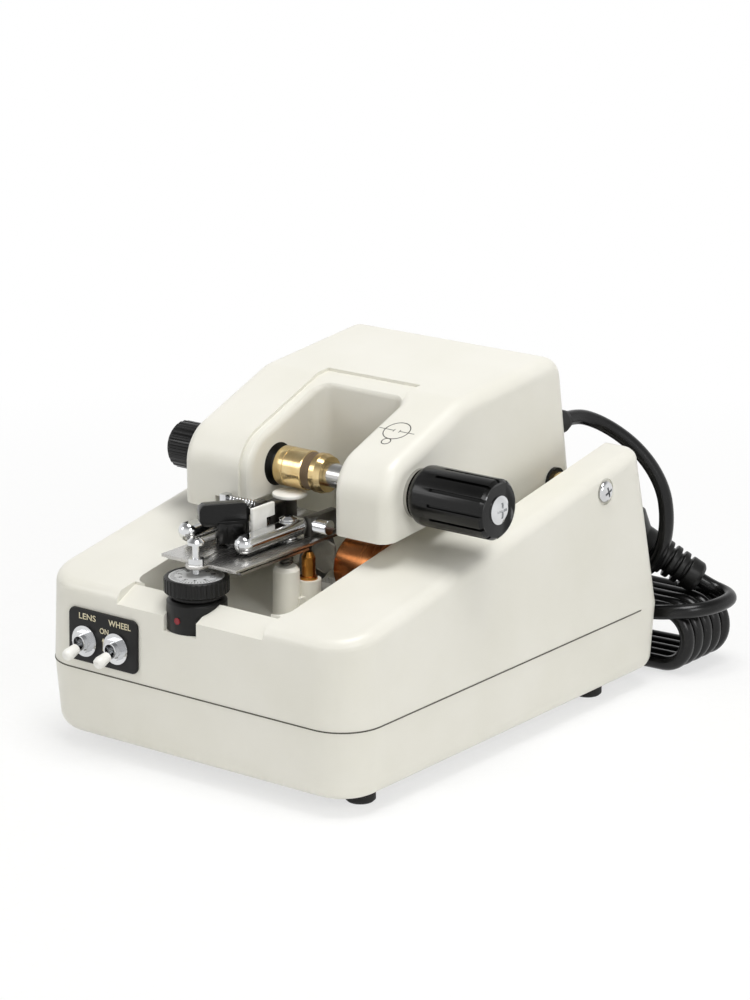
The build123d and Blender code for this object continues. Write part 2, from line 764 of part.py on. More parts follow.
with BuildPart() as right_guide_arm:
    add(arm_rod(right_arm_side, right_arm_front, 66.0))
    add(bar(z_axis(*right_pivot), plate_top + 0.1, arm_top, 7.0))
    add(bar(z_axis(*right_pivot), plate_top, arm_top + 5, screw_bore + 2 * running_fit), mode=Mode.SUBTRACT)
keep(right_guide_arm, "right_guide_arm")
with BuildPart() as left_guide_arm:
    add(arm_rod(-left_arm_side, left_arm_front, 58.0))
    with BuildSketch(level(arm_top)):
        with BuildLine():
            Polyline(
                (across(-left_arm_side - 3), along(44)),
                (across(-left_arm_side + 3), along(44)),
                (across(-left_arm_side + 4), along(55)),
                (across(-10.5), along(59)),
                (across(-10.5), along(67)),
                (across(-17), along(67)),
                (across(-left_arm_side - 3), along(60)),
                close=True,
            )
        make_face()
    extrude(amount=lever_thick)
    add(bar(z_axis(*left_pivot), plate_top + 0.1, arm_top, 7.0))
    add(bar(z_axis(*left_pivot), plate_top, arm_top + 5, screw_bore + 2 * running_fit), mode=Mode.SUBTRACT)
    lug_top = spring_z + spring_dia / 2 + 0.2
    add(block(spring_left - 3, spring_left, spring_y - 2, spring_y + 2, arm_top + lever_thick, lug_top))
    add(bar(spring_line, spring_left, spring_left + peg_length, peg_dia))
keep(left_guide_arm, "left_guide_arm")


# A pan head screw standing on a surface, with a cross recess
def pan_screw(u, v, seat, low, shank_dia, head_dia, head_height):
    line = z_axis(u, v)
    half = head_dia / 2
    with BuildPart() as screw:
        add(turned(line, [(low, 0), (low, shank_dia / 2), (seat, shank_dia / 2), (seat, half),
                          (seat + head_height * 0.45, half), (seat + head_height, half * 0.5),
                          (seat + head_height, 0)]))
        with BuildSketch(level(seat + head_height * 0.5)):
            with Locations((across(u), along(v))):
                Rectangle(head_dia * 0.5, 0.7)
                Rectangle(0.7, head_dia * 0.5)
        extrude(amount=head_height, mode=Mode.SUBTRACT)
    return screw.part


knob_place = z_axis(-12.5, 42.5)
knob_low = 86.5
wing_low = arm_top + 0.5
wing_top = 102.4
wing_length = 19.9
wing_thick = 5.0
wing_shift = 3.45
with BuildPart() as arm_screws:
    add(pan_screw(*right_pivot, arm_top + 0.1, plate_low, screw_bore, 7.4, 1.6))
    add(pan_screw(*left_pivot, arm_top + lever_thick + 0.1, plate_low, screw_bore, 7.4, 1.6))
    add(bar(knob_place, plate_top, knob_low, 5.0))
keep(arm_screws, "arm_screws")

# Blocks behind the arms: the nylon strip, its dark carrier, the disc under the chuck
with BuildPart() as guide_carrier:
    add(block(-16.5, -6.5, 68.5, 76.0, plate_top, carrier_top - 3))
    add(block(-9.5, strip_side - strip_thick, 57.5, 76.0, arm_top + lever_thick + 2.2, carrier_top))
    lug_half = 2.0
    add(block(spring_right, spring_right + 3, spring_y - lug_half, 57.5, spring_z - lug_half, spring_z + lug_half))
    add(bar(spring_line, spring_right - peg_length, spring_right, peg_dia))
    add(block(-9.0, -6.5, 68.5, 76.0, carrier_top - 4, carrier_top - 1))
    add(block(4.4, 8.0, 66.5, 84.0, plate_top, arm_top + 0.5))
keep(guide_carrier, "guide_carrier")
with BuildPart() as nylon_guides:
    add(block(strip_side - strip_thick, strip_side, 44.5, 53.0, 88.0, 100.5))
    add(block(strip_side - strip_thick, strip_side, 44.5, 58.0, carrier_top - 4, 100.5))
    add(bar(z_axis(-7.0, 72.0), carrier_top, carrier_top + 1.4, 14.0))
    add(block(lens_plane - 1.5, lens_plane + 5, 60, 82, carrier_top - 1, carrier_top + 3), mode=Mode.SUBTRACT)
keep(nylon_guides, "nylon_guides")

# Black position knob with its wing, and the spindle that it turns
wing_angle = degrees(atan(0.78 / 0.62))
with BuildPart() as position_knob:
    add(turned(knob_place, [(knob_low, 0), (knob_low, 6.4), (87.2, 6.8), (95, 6.8), (95, 0)]))
    wing_plane = Plane((across(-12.5), along(42.5), 0), x_dir=(cos(radians(wing_angle)), sin(radians(wing_angle)), 0),
                       z_dir=(sin(radians(wing_angle)), -cos(radians(wing_angle)), 0))
    with BuildSketch(wing_plane):
        with Locations((-wing_shift, (wing_low + wing_top) / 2)):
            RectangleRounded(wing_length, wing_top - wing_low, 3.0)
    extrude(amount=wing_thick / 2, both=True)
keep(position_knob, "position_knob")

# Knurled screw that locks the right arm
knurl_line = x_axis(70.0, arm_z)
with BuildPart() as knurled_screw:
    add(turned(knurl_line, [(8.0, 0), (8.0, 2.0), (9.6, 2.0), (9.6, 2.4), (10.0, 2.8), (14.6, 2.8), (15, 2.4), (15, 0)]))
keep(knurled_screw, "knurled_screw")

# Least gap between stretches of a tube that aren't neighbours along it
def least_gap(line, dia, count=600):
    points = [line.position_at(i / count) for i in range(count + 1)]
    step = line.length / count
    apart = int(3 * dia / step) + 1
    least = min(
        (points[i] - points[j]).length for i in range(count) for j in range(i + apart, count + 1)
    )
    return least - dia


# A coil spring about the plane's X direction: half turns, each in a plane of its own, that meet
# with a common tangent
def coil(plane, start, end, outer_dia, wire_dia, turns):
    radius = (outer_dia - wire_dia) / 2
    pitch = (end - start - wire_dia) / turns
    side = plane.x_dir.cross(plane.z_dir)
    with BuildPart() as spring:
        with BuildLine() as path:
            for half_turn in range(2 * turns):
                sign = 1 if half_turn % 2 == 0 else -1
                first = plane.origin + plane.x_dir * (start + wire_dia / 2 + pitch * half_turn / 2)
                middle = first + plane.x_dir * (pitch / 4)
                last = first + plane.x_dir * (pitch / 2)
                bulge = sqrt(radius**2 + (pitch / 4)**2)
                ThreePointArc(first + plane.z_dir * radius * sign, middle + side * bulge * sign,
                              last - plane.z_dir * radius * sign)
        wire_start = path.wire().position_at(0)
        with BuildSketch(Plane(wire_start, z_dir=path.wire().tangent_at(0))):
            Circle(wire_dia / 2)
        sweep()
    gap = least_gap(path.wire(), wire_dia, 40 * turns)
    print("spring of", turns, "turns, least gap", round(gap, 2),
          "volume over section", round(spring.part.volume / (pi * wire_dia**2 / 4 * path.wire().length), 4))
    return spring.part


# Tension spring between the left arm and its carrier, and compression spring under the plate
with BuildPart() as arm_spring:
    add(coil(spring_line, spring_left, spring_right, spring_dia, spring_wire, spring_turns))
keep(arm_spring, "arm_spring")
with BuildPart() as plate_spring:
    add(coil(post_a, post_a_top, underlay_low, plate_spring_dia, plate_spring_wire, plate_spring_turns))
keep(plate_spring, "plate_spring")

# Clear guard that hangs from the plate beside the wheel
guard_y = 71.0
guard_thick = 1.2
with BuildPart() as splash_guard:
    with BuildSketch(Plane.XZ.offset(-along(guard_y - guard_thick / 2))):
        with BuildLine():
            Polyline(
                (across(5.4), plate_low),
                (across(plate_right), plate_low),
                (across(plate_right + 4.4), plate_low - 1.6),
                (across(plate_right + 4.4), 73.5),
                (across(11.4), 70.4),
                (across(5.4), 72.4),
                close=True,
            )
        make_face()
    extrude(amount=-guard_thick)
keep(splash_guard, "splash_guard")

# Head: its outline from the side, drawn in by a wall where it is hollow
slope_front = slope_height + (head_front - slope_from) * slope_rise
slope_rear = slope_height + (ridge_at - slope_from) * slope_rise
top_rear_z = slope_rear + (head_top_rear - ridge_at) * top_rise
heel_top = heel_front - heel_slope_run


def bottom_at(v):
    return head_bottom + (v - head_front) * bottom_rise


def head_body(inset, u0, u1):
    with BuildPart() as body:
        with BuildSketch(side_plane(u0)) as face:
            with BuildLine():
                Polyline(
                    (along(head_front), head_bottom),
                    (along(head_front), slope_front),
                    (along(ridge_at), slope_rear),
                    (along(head_top_rear), top_rear_z),
                    (along(head_rear), pivot_z),
                    (along(head_rear - 1), heel_bottom),
                    (along(heel_front), heel_bottom),
                    (along(heel_top), bottom_at(heel_top)),
                    close=True,
                )
            make_face()
            if inset:
                offset(amount=-inset, kind=Kind.INTERSECTION, mode=Mode.REPLACE)
            nose = face.vertices().sort_by(Axis.X)[0:2].sort_by(Axis.Y)[-1]
            fillet(nose, nose_radius - inset)
            ridge = face.vertices().sort_by(Axis.Y)[-2]
            fillet(ridge, ridge_radius - inset)
            top_rear = face.vertices().sort_by(Axis.X).sort_by(Axis.Y)[-1]
            fillet(top_rear, top_rear_radius - inset)
        extrude(amount=u1 - u0)
    return body.part


clamp_line = x_axis(clamp_y, clamp_z)
inner_half = head_half - head_wall
relief_left = 34.5
relief_right = 17.0
relief_top = 97.5
relief_rear = 92.0
lug_inner = 34.0
cavity_rear = head_top_rear - 3
pocket_wall_left = pocket_left + head_wall
pocket_wall_right = pocket_right + head_wall
spindle_bore = 10.5

# The hollow inside the head, open at the bottom ahead of the heel; it keeps clear of the wall
# under the shallow border around the pocket
with BuildPart() as recess_wall:
    add(block(-recess_left - head_wall, pocket_wall_right, 0, recess_rear + head_wall, clamp_z, 200))
    add(head_body(recess_depth + head_wall, -head_half, head_half), mode=Mode.SUBTRACT)
with BuildPart() as head_hollow:
    add(head_body(head_wall, -inner_half, inner_half))
    add(side_slab(-inner_half, inner_half, [(head_front + head_wall, head_bottom - 8), (heel_top, head_bottom - 8),
                                            (heel_top, bottom_at(heel_top) + 6),
                                            (head_front + head_wall, head_bottom + 6)]))
    add(block(-pocket_wall_left, pocket_wall_right, 0, pocket_rear + head_wall, 0, 200), mode=Mode.SUBTRACT)
    add(block(-relief_left - head_wall, 0, 0, relief_rear + head_wall, 0, relief_top + head_wall), mode=Mode.SUBTRACT)
    add(side_slab(-60, 60, [(heel_top, 0), (head_rear + 5, 0), (head_rear + 5, pivot_z + 8), (heel_top, pivot_z + 8)]),
        mode=Mode.SUBTRACT)
    add(recess_wall.part, mode=Mode.SUBTRACT)

# The shallow border around the pocket
with BuildPart() as head_recess:
    add(block(-recess_left, pocket_right - 0.4, 0, recess_rear, 0, 200))
    add(head_body(recess_depth, -head_half, head_half), mode=Mode.SUBTRACT)



# Edges of a piece that lie at one place across the machine, above a height and ahead of a place
def edges_at(piece, u, low, rear=shell_depth):
    return piece.edges().filter_by(
        lambda edge: abs(edge.center().X - across(u)) < 0.01 and edge.center().Z > low and edge.center().Y < along(rear)
    )


bush_seat = head_half - 2.5
head_lean = (head_rear - head_top_rear) / (top_rear_z - pivot_z)
link_exit_v = head_rear - (link_z - pivot_z) * head_lean
with BuildPart() as head_shell:
    add(head_body(0, -head_half, head_half))
    fillet(edges_at(head_shell, head_half, pivot_z + 5) + edges_at(head_shell, -head_half, pivot_z + 5), head_edge)
    with BuildSketch(level(0)):
        with Locations((across((pocket_right - pocket_left) / 2), along(pocket_rear / 2))):
            RectangleRounded(pocket_right + pocket_left, pocket_rear, pocket_corner)
    extrude(amount=200, mode=Mode.SUBTRACT)
    fillet(
        edges_at(head_shell, pocket_right, head_bottom + 6, pocket_rear - pocket_corner - 1)
        + edges_at(head_shell, -pocket_left, head_bottom + 6, pocket_rear - pocket_corner - 1),
        pocket_edge,
    )
    add(head_recess.part, mode=Mode.SUBTRACT)
    add(head_hollow.part, mode=Mode.SUBTRACT)
    add(block(-relief_left, -relief_right, 0, relief_rear, 0, relief_top), mode=Mode.SUBTRACT)
    add(block(-lug_inner, lug_inner, heel_top - 1, head_rear + 5, 0, pivot_z + 4), mode=Mode.SUBTRACT)
    for side in (-1, 1):
        add(bar(pivot_line, side * bush_seat, side * (head_half + 1), bush_dia), mode=Mode.SUBTRACT)
        add(bar(pivot_line, side * (lug_inner - 1), side * head_half, pivot_dia + 2 * running_fit), mode=Mode.SUBTRACT)
    add(bar(clamp_line, -pocket_wall_left - 1, -pocket_left + 1, spindle_hole), mode=Mode.SUBTRACT)
    add(bar(clamp_line, -head_half - 1, -inner_half + 1, spindle_bore), mode=Mode.SUBTRACT)
    add(bar(clamp_line, pocket_right - 1, head_half + 1, clamp_dia + 3), mode=Mode.SUBTRACT)
    add(bar(rear_line, cavity_rear - 3, head_rear + 5, grommet_dia), mode=Mode.SUBTRACT)
keep(head_shell, "head_shell")

# Cover under each part of the hollow
with BuildPart() as head_cover:
    v0 = head_front + head_wall + fit_gap
    v1 = heel_top - fit_gap
    side = inner_half - fit_gap
    add(side_slab(-side, side, [(v0, bottom_at(v0)), (v1, bottom_at(v1)), (v1, bottom_at(v1) + cover_thick),
                                (v0, bottom_at(v0) + cover_thick)]))
    add(block(-pocket_wall_left - fit_gap, pocket_wall_right + fit_gap, 0, pocket_rear + head_wall + fit_gap, 0, 200),
        mode=Mode.SUBTRACT)
    add(block(-relief_left - head_wall - fit_gap, 0, 0, relief_rear + head_wall + fit_gap, 0, 200), mode=Mode.SUBTRACT)
keep(head_cover, "head_cover")

# Pivot bolts in the cheeks, bushes and dark washers on the head's sides
bolt_end = bush_seat - 8
with BuildPart() as pivot_screws:
    for side in (-1, 1):
        half = screw_head_dia / 2
        add(turned(pivot_line, [(side * bolt_end, 0), (side * bolt_end, pivot_dia / 2), (side * screw_seat, pivot_dia / 2),
                                (side * screw_seat, half), (side * (screw_seat + 1.0), half),
                                (side * (screw_seat + screw_head_height), half - 2.2),
                                (side * (screw_seat + screw_head_height), 0)]))
keep(pivot_screws, "pivot_screws")
with BuildPart() as brass_bushes:
    for side in (-1, 1):
        add(bar(pivot_line, side * bush_seat, side * (bay_half - 0.1), bush_dia, pivot_dia + 2 * running_fit))
    add(bar(clamp_line, pocket_right, head_half, clamp_dia + 3, clamp_dia + 2 * running_fit))
keep(brass_bushes, "brass_bushes")
with BuildPart() as pivot_washers:
    for side in (-1, 1):
        add(bar(pivot_line, side * head_half, side * (head_half + 1.5), washer_dia, bush_dia))
keep(pivot_washers, "pivot_washers")

# Bushes that the two clamp shafts run in
with BuildPart() as spindle_bushes:
    bore = spindle_dia + 2 * running_fit
    add(bar(clamp_line, -pocket_wall_left, -pocket_left, spindle_hole, bore))
    add(bar(clamp_line, -head_half, -inner_half, spindle_bore, bore))
keep(spindle_bushes, "spindle_bushes")

# Lens spindle with the brass chuck, the rubber pad and the left knob
chuck_end = lens_plane - pad_gap / 2 - pad_thick
chuck_start = chuck_end - chuck_length
spindle_end = -head_half - knob_gap - left_knob_length + 3
with BuildPart() as lens_spindle:
    add(turned(clamp_line, [(spindle_end, 0), (spindle_end, spindle_dia / 2), (-pocket_left, spindle_dia / 2),
                            (-pocket_left + 0.2, neck_dia / 2), (chuck_start, neck_dia / 2), (chuck_start, 0)]))
keep(lens_spindle, "lens_spindle")
with BuildPart() as lens_chuck:
    half = chuck_dia / 2
    add(turned(clamp_line, [(chuck_start, 0), (chuck_start, half - 0.6), (chuck_start + 0.6, half),
                            (chuck_start + 4.6, half), (chuck_start + 4.8, half - 0.3), (chuck_start + 5.2, half - 0.3),
                            (chuck_start + 5.4, half), (chuck_end - 0.4, half), (chuck_end, half - 0.4),
                            (chuck_end, 0)]))
keep(lens_chuck, "lens_chuck")
with BuildPart() as left_pad:
    add(bar(clamp_line, chuck_end, chuck_end + pad_thick, pad_dia))
keep(left_pad, "left_pad")
left_flutes = 24
with BuildPart() as left_knob:
    start = -head_half - knob_gap
    end = start - left_knob_length
    half = left_knob_dia / 2
    bore = spindle_dia / 2
    add(turned(clamp_line, [(start, bore), (start, half - 0.6), (start - 0.6, half), (end + 1.2, half),
                            (end, half - 1.2), (end, 0), (spindle_end, 0), (spindle_end, bore)]))
    with BuildSketch(side_plane(start - 1.6)):
        with Locations((along(clamp_y), clamp_z)):
            with PolarLocations(half + 0.35, left_flutes):
                Circle(flute_dia / 2)
    extrude(amount=-left_knob_length, mode=Mode.SUBTRACT)
keep(left_knob, "left_knob")

# Clamp shaft with the brass cap and its pad, the clamp knob and its screw
cap_start = lens_plane + pad_gap / 2 + pad_thick
cap_end = cap_start + cap_length
knob_start = head_half + knob_washer_thick + 0.5
with BuildPart() as right_pad:
    add(bar(clamp_line, cap_start - pad_thick, cap_start, pad_dia))
keep(right_pad, "right_pad")
journal_dia = 6.0
with BuildPart() as clamp_cap:
    half = chuck_dia / 2
    add(turned(clamp_line, [(cap_start, 0), (cap_start, half - 0.4), (cap_start + 0.4, half),
                            (cap_start + 2.8, half), (cap_end, cap_end_dia / 2), (cap_end, journal_dia / 2 + running_fit),
                            (cap_start + 1.5, journal_dia / 2 + running_fit), (cap_start + 1.5, 0)]))
keep(clamp_cap, "clamp_cap")
shaft_end = knob_start + 20
with BuildPart() as clamp_shaft:
    add(turned(clamp_line, [(cap_start + 1.6, 0), (cap_start + 1.6, journal_dia / 2), (cap_end + 0.1, journal_dia / 2),
                            (cap_end + 0.1, clamp_dia / 2), (knob_start, clamp_dia / 2), (knob_start, 3.0),
                            (shaft_end, 3.0), (shaft_end, 0)]))
keep(clamp_shaft, "clamp_shaft")
with BuildPart() as knob_washer:
    add(bar(clamp_line, head_half, head_half + knob_washer_thick, knob_washer_dia, clamp_dia + 2 * running_fit))
keep(knob_washer, "knob_washer")
knob_flutes = 12
with BuildPart() as clamp_knob:
    half = clamp_knob_dia / 2
    bore = 3.0 + running_fit
    add(turned(clamp_line, [(knob_start, bore), (knob_start, half - 3.4), (knob_start + 0.6, half - 1.6),
                            (knob_start + 2.6, half - 0.2), (knob_start + 4, half), (knob_end - 1.2, half),
                            (knob_end, half - 1.2), (knob_end, 0), (shaft_end + 0.1, 0), (shaft_end + 0.1, bore)]))
    with BuildSketch(side_plane(knob_start + 11)):
        with Locations((along(clamp_y), clamp_z)):
            with PolarLocations(half, knob_flutes):
                Rectangle(2.4, 1.3)
    extrude(amount=clamp_knob_length, mode=Mode.SUBTRACT)
keep(clamp_knob, "clamp_knob")
with BuildPart() as knob_screw:
    half = knob_screw_dia / 2
    add(turned(clamp_line, [(knob_end, 0), (knob_end, half), (knob_end + 0.6, half), (knob_end + 1.4, half - 1.6),
                            (knob_end + knob_screw_height, half - 3.4), (knob_end + knob_screw_height, 0)]))
    with BuildSketch(side_plane(knob_end + 0.8)):
        with Locations((along(clamp_y), clamp_z)):
            Rectangle(6.4, 1.2)
            Rectangle(1.2, 6.4)
    extrude(amount=2, mode=Mode.SUBTRACT)
keep(knob_screw, "knob_screw")


# A spur gear with straight flanks about the plane's X direction
def spur_gear(plane_at, place, teeth, width, bore, turn):
    pitch_radius = module * teeth / 2
    root = pitch_radius - 1.15 * module
    tip = pitch_radius + 0.9 * module
    half_root = 0.5 * pi * pitch_radius / teeth * 1.1
    half_tip = 0.5 * pi * pitch_radius / teeth * 0.36
    with BuildPart() as gear:
        with BuildSketch(plane_at):
            with Locations(place):
                Circle(root + 0.05)
                with PolarLocations(0, teeth, start_angle=turn):
                    Polygon((root - 0.3, -half_root), (root, -half_root), (tip, -half_tip), (tip, half_tip),
                            (root, half_root), (root - 0.3, half_root), align=None)
                Circle(bore / 2, mode=Mode.SUBTRACT)
        extrude(amount=width)
    return gear.part


centre_distance = module * (spindle_teeth + pinion_teeth) / 2
motor_z = clamp_z + motor_rise
motor_y = clamp_y + sqrt(centre_distance**2 - motor_rise**2)
motor_line = x_axis(motor_y, motor_z)
motor_face = -gear_side + gear_width + 1.5
mesh_angle = degrees(atan(motor_rise / (motor_y - clamp_y)))
gear_plane = side_plane(-gear_side)
with BuildPart() as spindle_gear:
    add(spur_gear(gear_plane, (along(clamp_y), clamp_z), spindle_teeth, gear_width, spindle_dia, mesh_angle))
keep(spindle_gear, "spindle_gear")
with BuildPart() as motor_pinion:
    half_tooth = 180 / pinion_teeth
    place = (along(motor_y), motor_z)
    add(spur_gear(gear_plane, place, pinion_teeth, gear_width, motor_shaft_dia, mesh_angle + 180 + half_tooth))
    add(bar(motor_line, -gear_side, motor_face + 3, motor_shaft_dia))
keep(motor_pinion, "motor_pinion")
with BuildPart() as lens_motor:
    bore = motor_shaft_dia / 2 + running_fit
    half = motor_dia / 2
    back = -pocket_wall_left
    add(turned(motor_line, [(motor_face + 3.1, bore), (motor_face - 0.8, bore), (motor_face - 0.8, 3.5),
                            (motor_face, 3.5), (motor_face, half - 0.8), (motor_face + 0.8, half), (back, half),
                            (back, 0), (motor_face + 3.1, 0)]))
keep(lens_motor, "lens_motor")


# A cord along chosen points: straight runs joined by arcs as large as the runs allow
def cord(points, dia, name):
    places = [Vector(across(u), along(v), z) for u, v, z in points]
    radii = []
    for before, here, after in zip(places, places[1:], places[2:]):
        turn = radians((here - before).get_angle(after - here))
        shorter = min((here - before).length, (after - here).length)
        radii.append(0.45 * shorter / tan(turn / 2))
    with BuildPart() as piece:
        with BuildLine() as path:
            FilletPolyline(*places, radius=radii)
        with BuildSketch(Plane(places[0], z_dir=places[1] - places[0])):
            Circle(dia / 2)
        sweep()
    length = path.wire().length
    print(name, "length", round(length), "radii", [round(radius) for radius in radii],
          "volume over section", round(piece.part.volume / (pi * dia**2 / 4 * length), 4))
    return piece.part


# Link cable from the head's rear to the housing's rear, with a grommet at each end
link_points = [
    (link_u, link_exit_v + grommet_out, link_z),
    (link_u, 195.5, link_z),
    (49.2, 204.4, 110.8),
    (55.0, 211.6, 105.3),
    (61.6, 217.2, 98.2),
    (68.0, 220.9, 89.2),
    (72.6, 222.6, 79.2),
    (74.0, 223.0, 69.0),
    (73.0, 223.6, 59.5),
    (69.8, 225.0, 51.6),
    (65.6, 226.6, 45.6),
    (61.6, 223.6, 41.8),
    (link_base_u, link_base_v + grommet_short, link_base_z),
]
with BuildPart() as head_grommet:
    add(turned(rear_line, [(link_exit_v - 2.0, link_cord_dia / 2), (link_exit_v - 2.0, grommet_dia / 2),
                           (link_exit_v + 3.0, grommet_dia / 2), (link_exit_v + grommet_out, grommet_dia / 2 - 1),
                           (link_exit_v + grommet_out, link_cord_dia / 2)]))
keep(head_grommet, "head_grommet")
with BuildPart() as base_glands:
    end = link_base_v + grommet_short
    add(turned(base_line, [(link_base_v - 2.0, link_cord_dia / 2), (link_base_v - 2.0, grommet_dia / 2),
                           (end - 1.0, grommet_dia / 2), (end, grommet_dia / 2 - 1), (end, link_cord_dia / 2)]))
    bore = mains_cord_dia / 2
    half = gland_dia / 2
    add(turned(gland_line, [(gland_v - 2.5, bore), (gland_v - 2.5, half), (gland_v + 2.0, half), (gland_v + 2.0, 5.0),
                            (gland_v + gland_out, 4.4), (gland_v + gland_out, bore)]))
keep(base_glands, "base_glands")
with BuildPart() as link_cable:
    add(cord(link_points, link_cord_dia, "link_cable"))
keep(link_cable, "link_cable")

# Mains lead: gland in the lower shell, hank behind the machine, loop back into the plug
hank_radius = 12.0
hank_right = 72.5
hank_left = -20.0
hank_shifts = 5
hank_pitch = 6.9
hank_far = 252.0
hank_low = mains_cord_dia / 2 + 0.05
hank_mid = hank_low + hank_radius
hank_top = hank_low + 2 * hank_radius
hank_out = 60.0
mains_points = [
    (gland_u, gland_v + gland_out, gland_z),
    (gland_u, 230.0, gland_z),
    (-48.5, 243.0, 22.5),
    (-35.5, hank_far, hank_top),
    (hank_left, hank_far, hank_top),
]


def place(u, v, z):
    return Vector(across(u), along(v), z)


# A long run that shifts sideways by one pitch, as two shallow arcs
def shifting_run(start, end):
    middle = (start + end) / 2
    shift = Vector(0, (end - start).Y, 0)
    run = abs((end - start).X)
    sag = shift * 0.0625
    ThreePointArc(start, (start + middle) / 2 - sag, middle)
    ThreePointArc(middle, (middle + end) / 2 + sag, end)


with BuildPart() as cord_hank:
    with BuildLine() as hank_path:
        v = hank_far
        Line(place(hank_left, v, hank_top), place(hank_right, v, hank_top))
        for turn in range(hank_shifts):
            inner = v - hank_pitch
            ThreePointArc(place(hank_right, v, hank_top), place(hank_right + hank_radius, v, hank_mid),
                          place(hank_right, v, hank_low))
            shifting_run(place(hank_right, v, hank_low), place(hank_left, inner, hank_low))
            ThreePointArc(place(hank_left, inner, hank_low), place(hank_left - hank_radius, inner, hank_mid),
                          place(hank_left, inner, hank_top))
            v = inner
            far_end = hank_out if turn == hank_shifts - 1 else hank_right
            Line(place(hank_left, v, hank_top), place(far_end, v, hank_top))
    with BuildSketch(Plane(place(hank_left, hank_far, hank_top), z_dir=(1, 0, 0))):
        Circle(mains_cord_dia / 2)
    sweep()


print("hank length", round(hank_path.wire().length), "least gap", round(least_gap(hank_path.wire(), mains_cord_dia), 2),
      "volume over section", round(cord_hank.part.volume / (pi * mains_cord_dia**2 / 4 * hank_path.wire().length), 4))
keep(cord_hank, "cord_hank")
with BuildPart() as mains_cord:
    add(cord(mains_points, mains_cord_dia, "mains_cord"))
keep(mains_cord, "mains_cord")
hank_near = hank_far - hank_shifts * hank_pitch
loop_points = [
    (hank_out, hank_near, hank_top),
    (71.0, hank_near, hank_top),
    (80.5, 217.7, 29.0),
    (88.4, 222.3, 29.9),
    (93.3, 231.5, 30.4),
    (93.5, 242.6, 30.6),
    (90.6, 247.2, 30.7),
    (85.8, 249.6, 31.0),
    (80.4, 249.0, 32.3),
    (76.0, 246.4, 35.5),
]
with BuildPart() as plug_cord:
    add(cord(loop_points, mains_cord_dia, "plug_cord"))
keep(plug_cord, "plug_cord")

# Plug with its ribbed strain relief, lying on the hank against the housing's rear
boot_length = 30.0
plug_length = 34.0
plug_end = place(*loop_points[-1])
plug_way = plug_end - place(*loop_points[-2])
plug_line = Plane(plug_end, x_dir=plug_way, z_dir=plug_way.cross(Vector(0, 0, 1)))
with BuildPart() as mains_plug:
    bore = mains_cord_dia / 2
    add(turned(plug_line, [(0, 0), (0, 5.5), (1.5, 7.0), (boot_length, 8.0), (boot_length + 6, 13.0),
                           (boot_length + plug_length - 1, 14.0), (boot_length + plug_length, 13.0),
                           (boot_length + plug_length, 0)]))
    for rib in range(5):
        groove = 7.0 + 4.2 * rib
        add(bar(plug_line, groove, groove + 1.6, 18.0, 11.0), mode=Mode.SUBTRACT)
keep(mains_plug, "mains_plug")
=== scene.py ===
import math

import bpy
from mathutils import Matrix, Vector


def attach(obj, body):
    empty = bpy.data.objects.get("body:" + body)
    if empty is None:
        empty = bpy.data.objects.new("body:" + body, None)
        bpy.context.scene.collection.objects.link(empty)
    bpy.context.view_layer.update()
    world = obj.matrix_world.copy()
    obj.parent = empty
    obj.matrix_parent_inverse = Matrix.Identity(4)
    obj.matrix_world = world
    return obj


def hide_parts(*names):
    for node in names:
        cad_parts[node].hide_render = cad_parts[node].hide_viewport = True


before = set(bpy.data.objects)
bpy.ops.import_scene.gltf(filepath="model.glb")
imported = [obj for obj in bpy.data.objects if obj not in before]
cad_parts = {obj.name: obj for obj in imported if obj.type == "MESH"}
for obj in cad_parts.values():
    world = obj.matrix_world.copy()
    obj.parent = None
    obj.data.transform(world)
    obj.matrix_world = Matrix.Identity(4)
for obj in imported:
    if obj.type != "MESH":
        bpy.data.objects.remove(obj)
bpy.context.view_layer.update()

mm = 0.001
midX, frontY = -6.5, -99.048  # the housing's middle plane and its front edge at the seam


# A place on the machine: across from the middle plane, back from the front edge, up from the table
def place(across, back, up):
    return Vector(((midX + across) * mm, (frontY + back) * mm, up * mm))


# Colours are written in sRGB and turned to linear here
def linear(hexColour):
    channels = [int(hexColour[i:i + 2], 16) / 255 for i in (1, 3, 5)]
    return [c / 12.92 if c <= 0.04045 else ((c + 0.055) / 1.055) ** 2.4 for c in channels] + [1.0]


# Adds one node; an input is a value or the socket that feeds it
def addNode(tree, kind, inputs=None, **settings):
    node = tree.nodes.new("ShaderNode" + kind)
    for name, value in settings.items():
        setattr(node, name, value)
    for name, value in (inputs or {}).items():
        if isinstance(value, bpy.types.NodeSocket):
            tree.links.new(value, node.inputs[name])
        else:
            node.inputs[name].default_value = value
    return node


def newMaterial(name):
    material = bpy.data.materials.new(name)
    material.use_nodes = True
    tree = material.node_tree
    tree.nodes.clear()
    position = addNode(tree, "TexCoord").outputs["Object"]
    return material, tree, position


def finishMaterial(tree, shader):
    addNode(tree, "OutputMaterial", {"Surface": shader.outputs[0]})


# Two-colour ramp driven by a pattern
def tintRamp(tree, pattern, low, high, start=0.3, end=0.7):
    ramp = addNode(tree, "ValToRGB", {"Fac": pattern})
    ramp.color_ramp.elements[0].position, ramp.color_ramp.elements[1].position = start, end
    ramp.color_ramp.elements[0].color, ramp.color_ramp.elements[1].color = linear(low), linear(high)
    return ramp.outputs["Color"]


# Pattern sizes and depths are in mm
enamel = {"base": "#E9E7DE", "warm": "#E4E2D7", "mottle": 38.0, "peel": 1.6, "peelDepth": 0.01,
          "rough": (0.3, 0.38)}


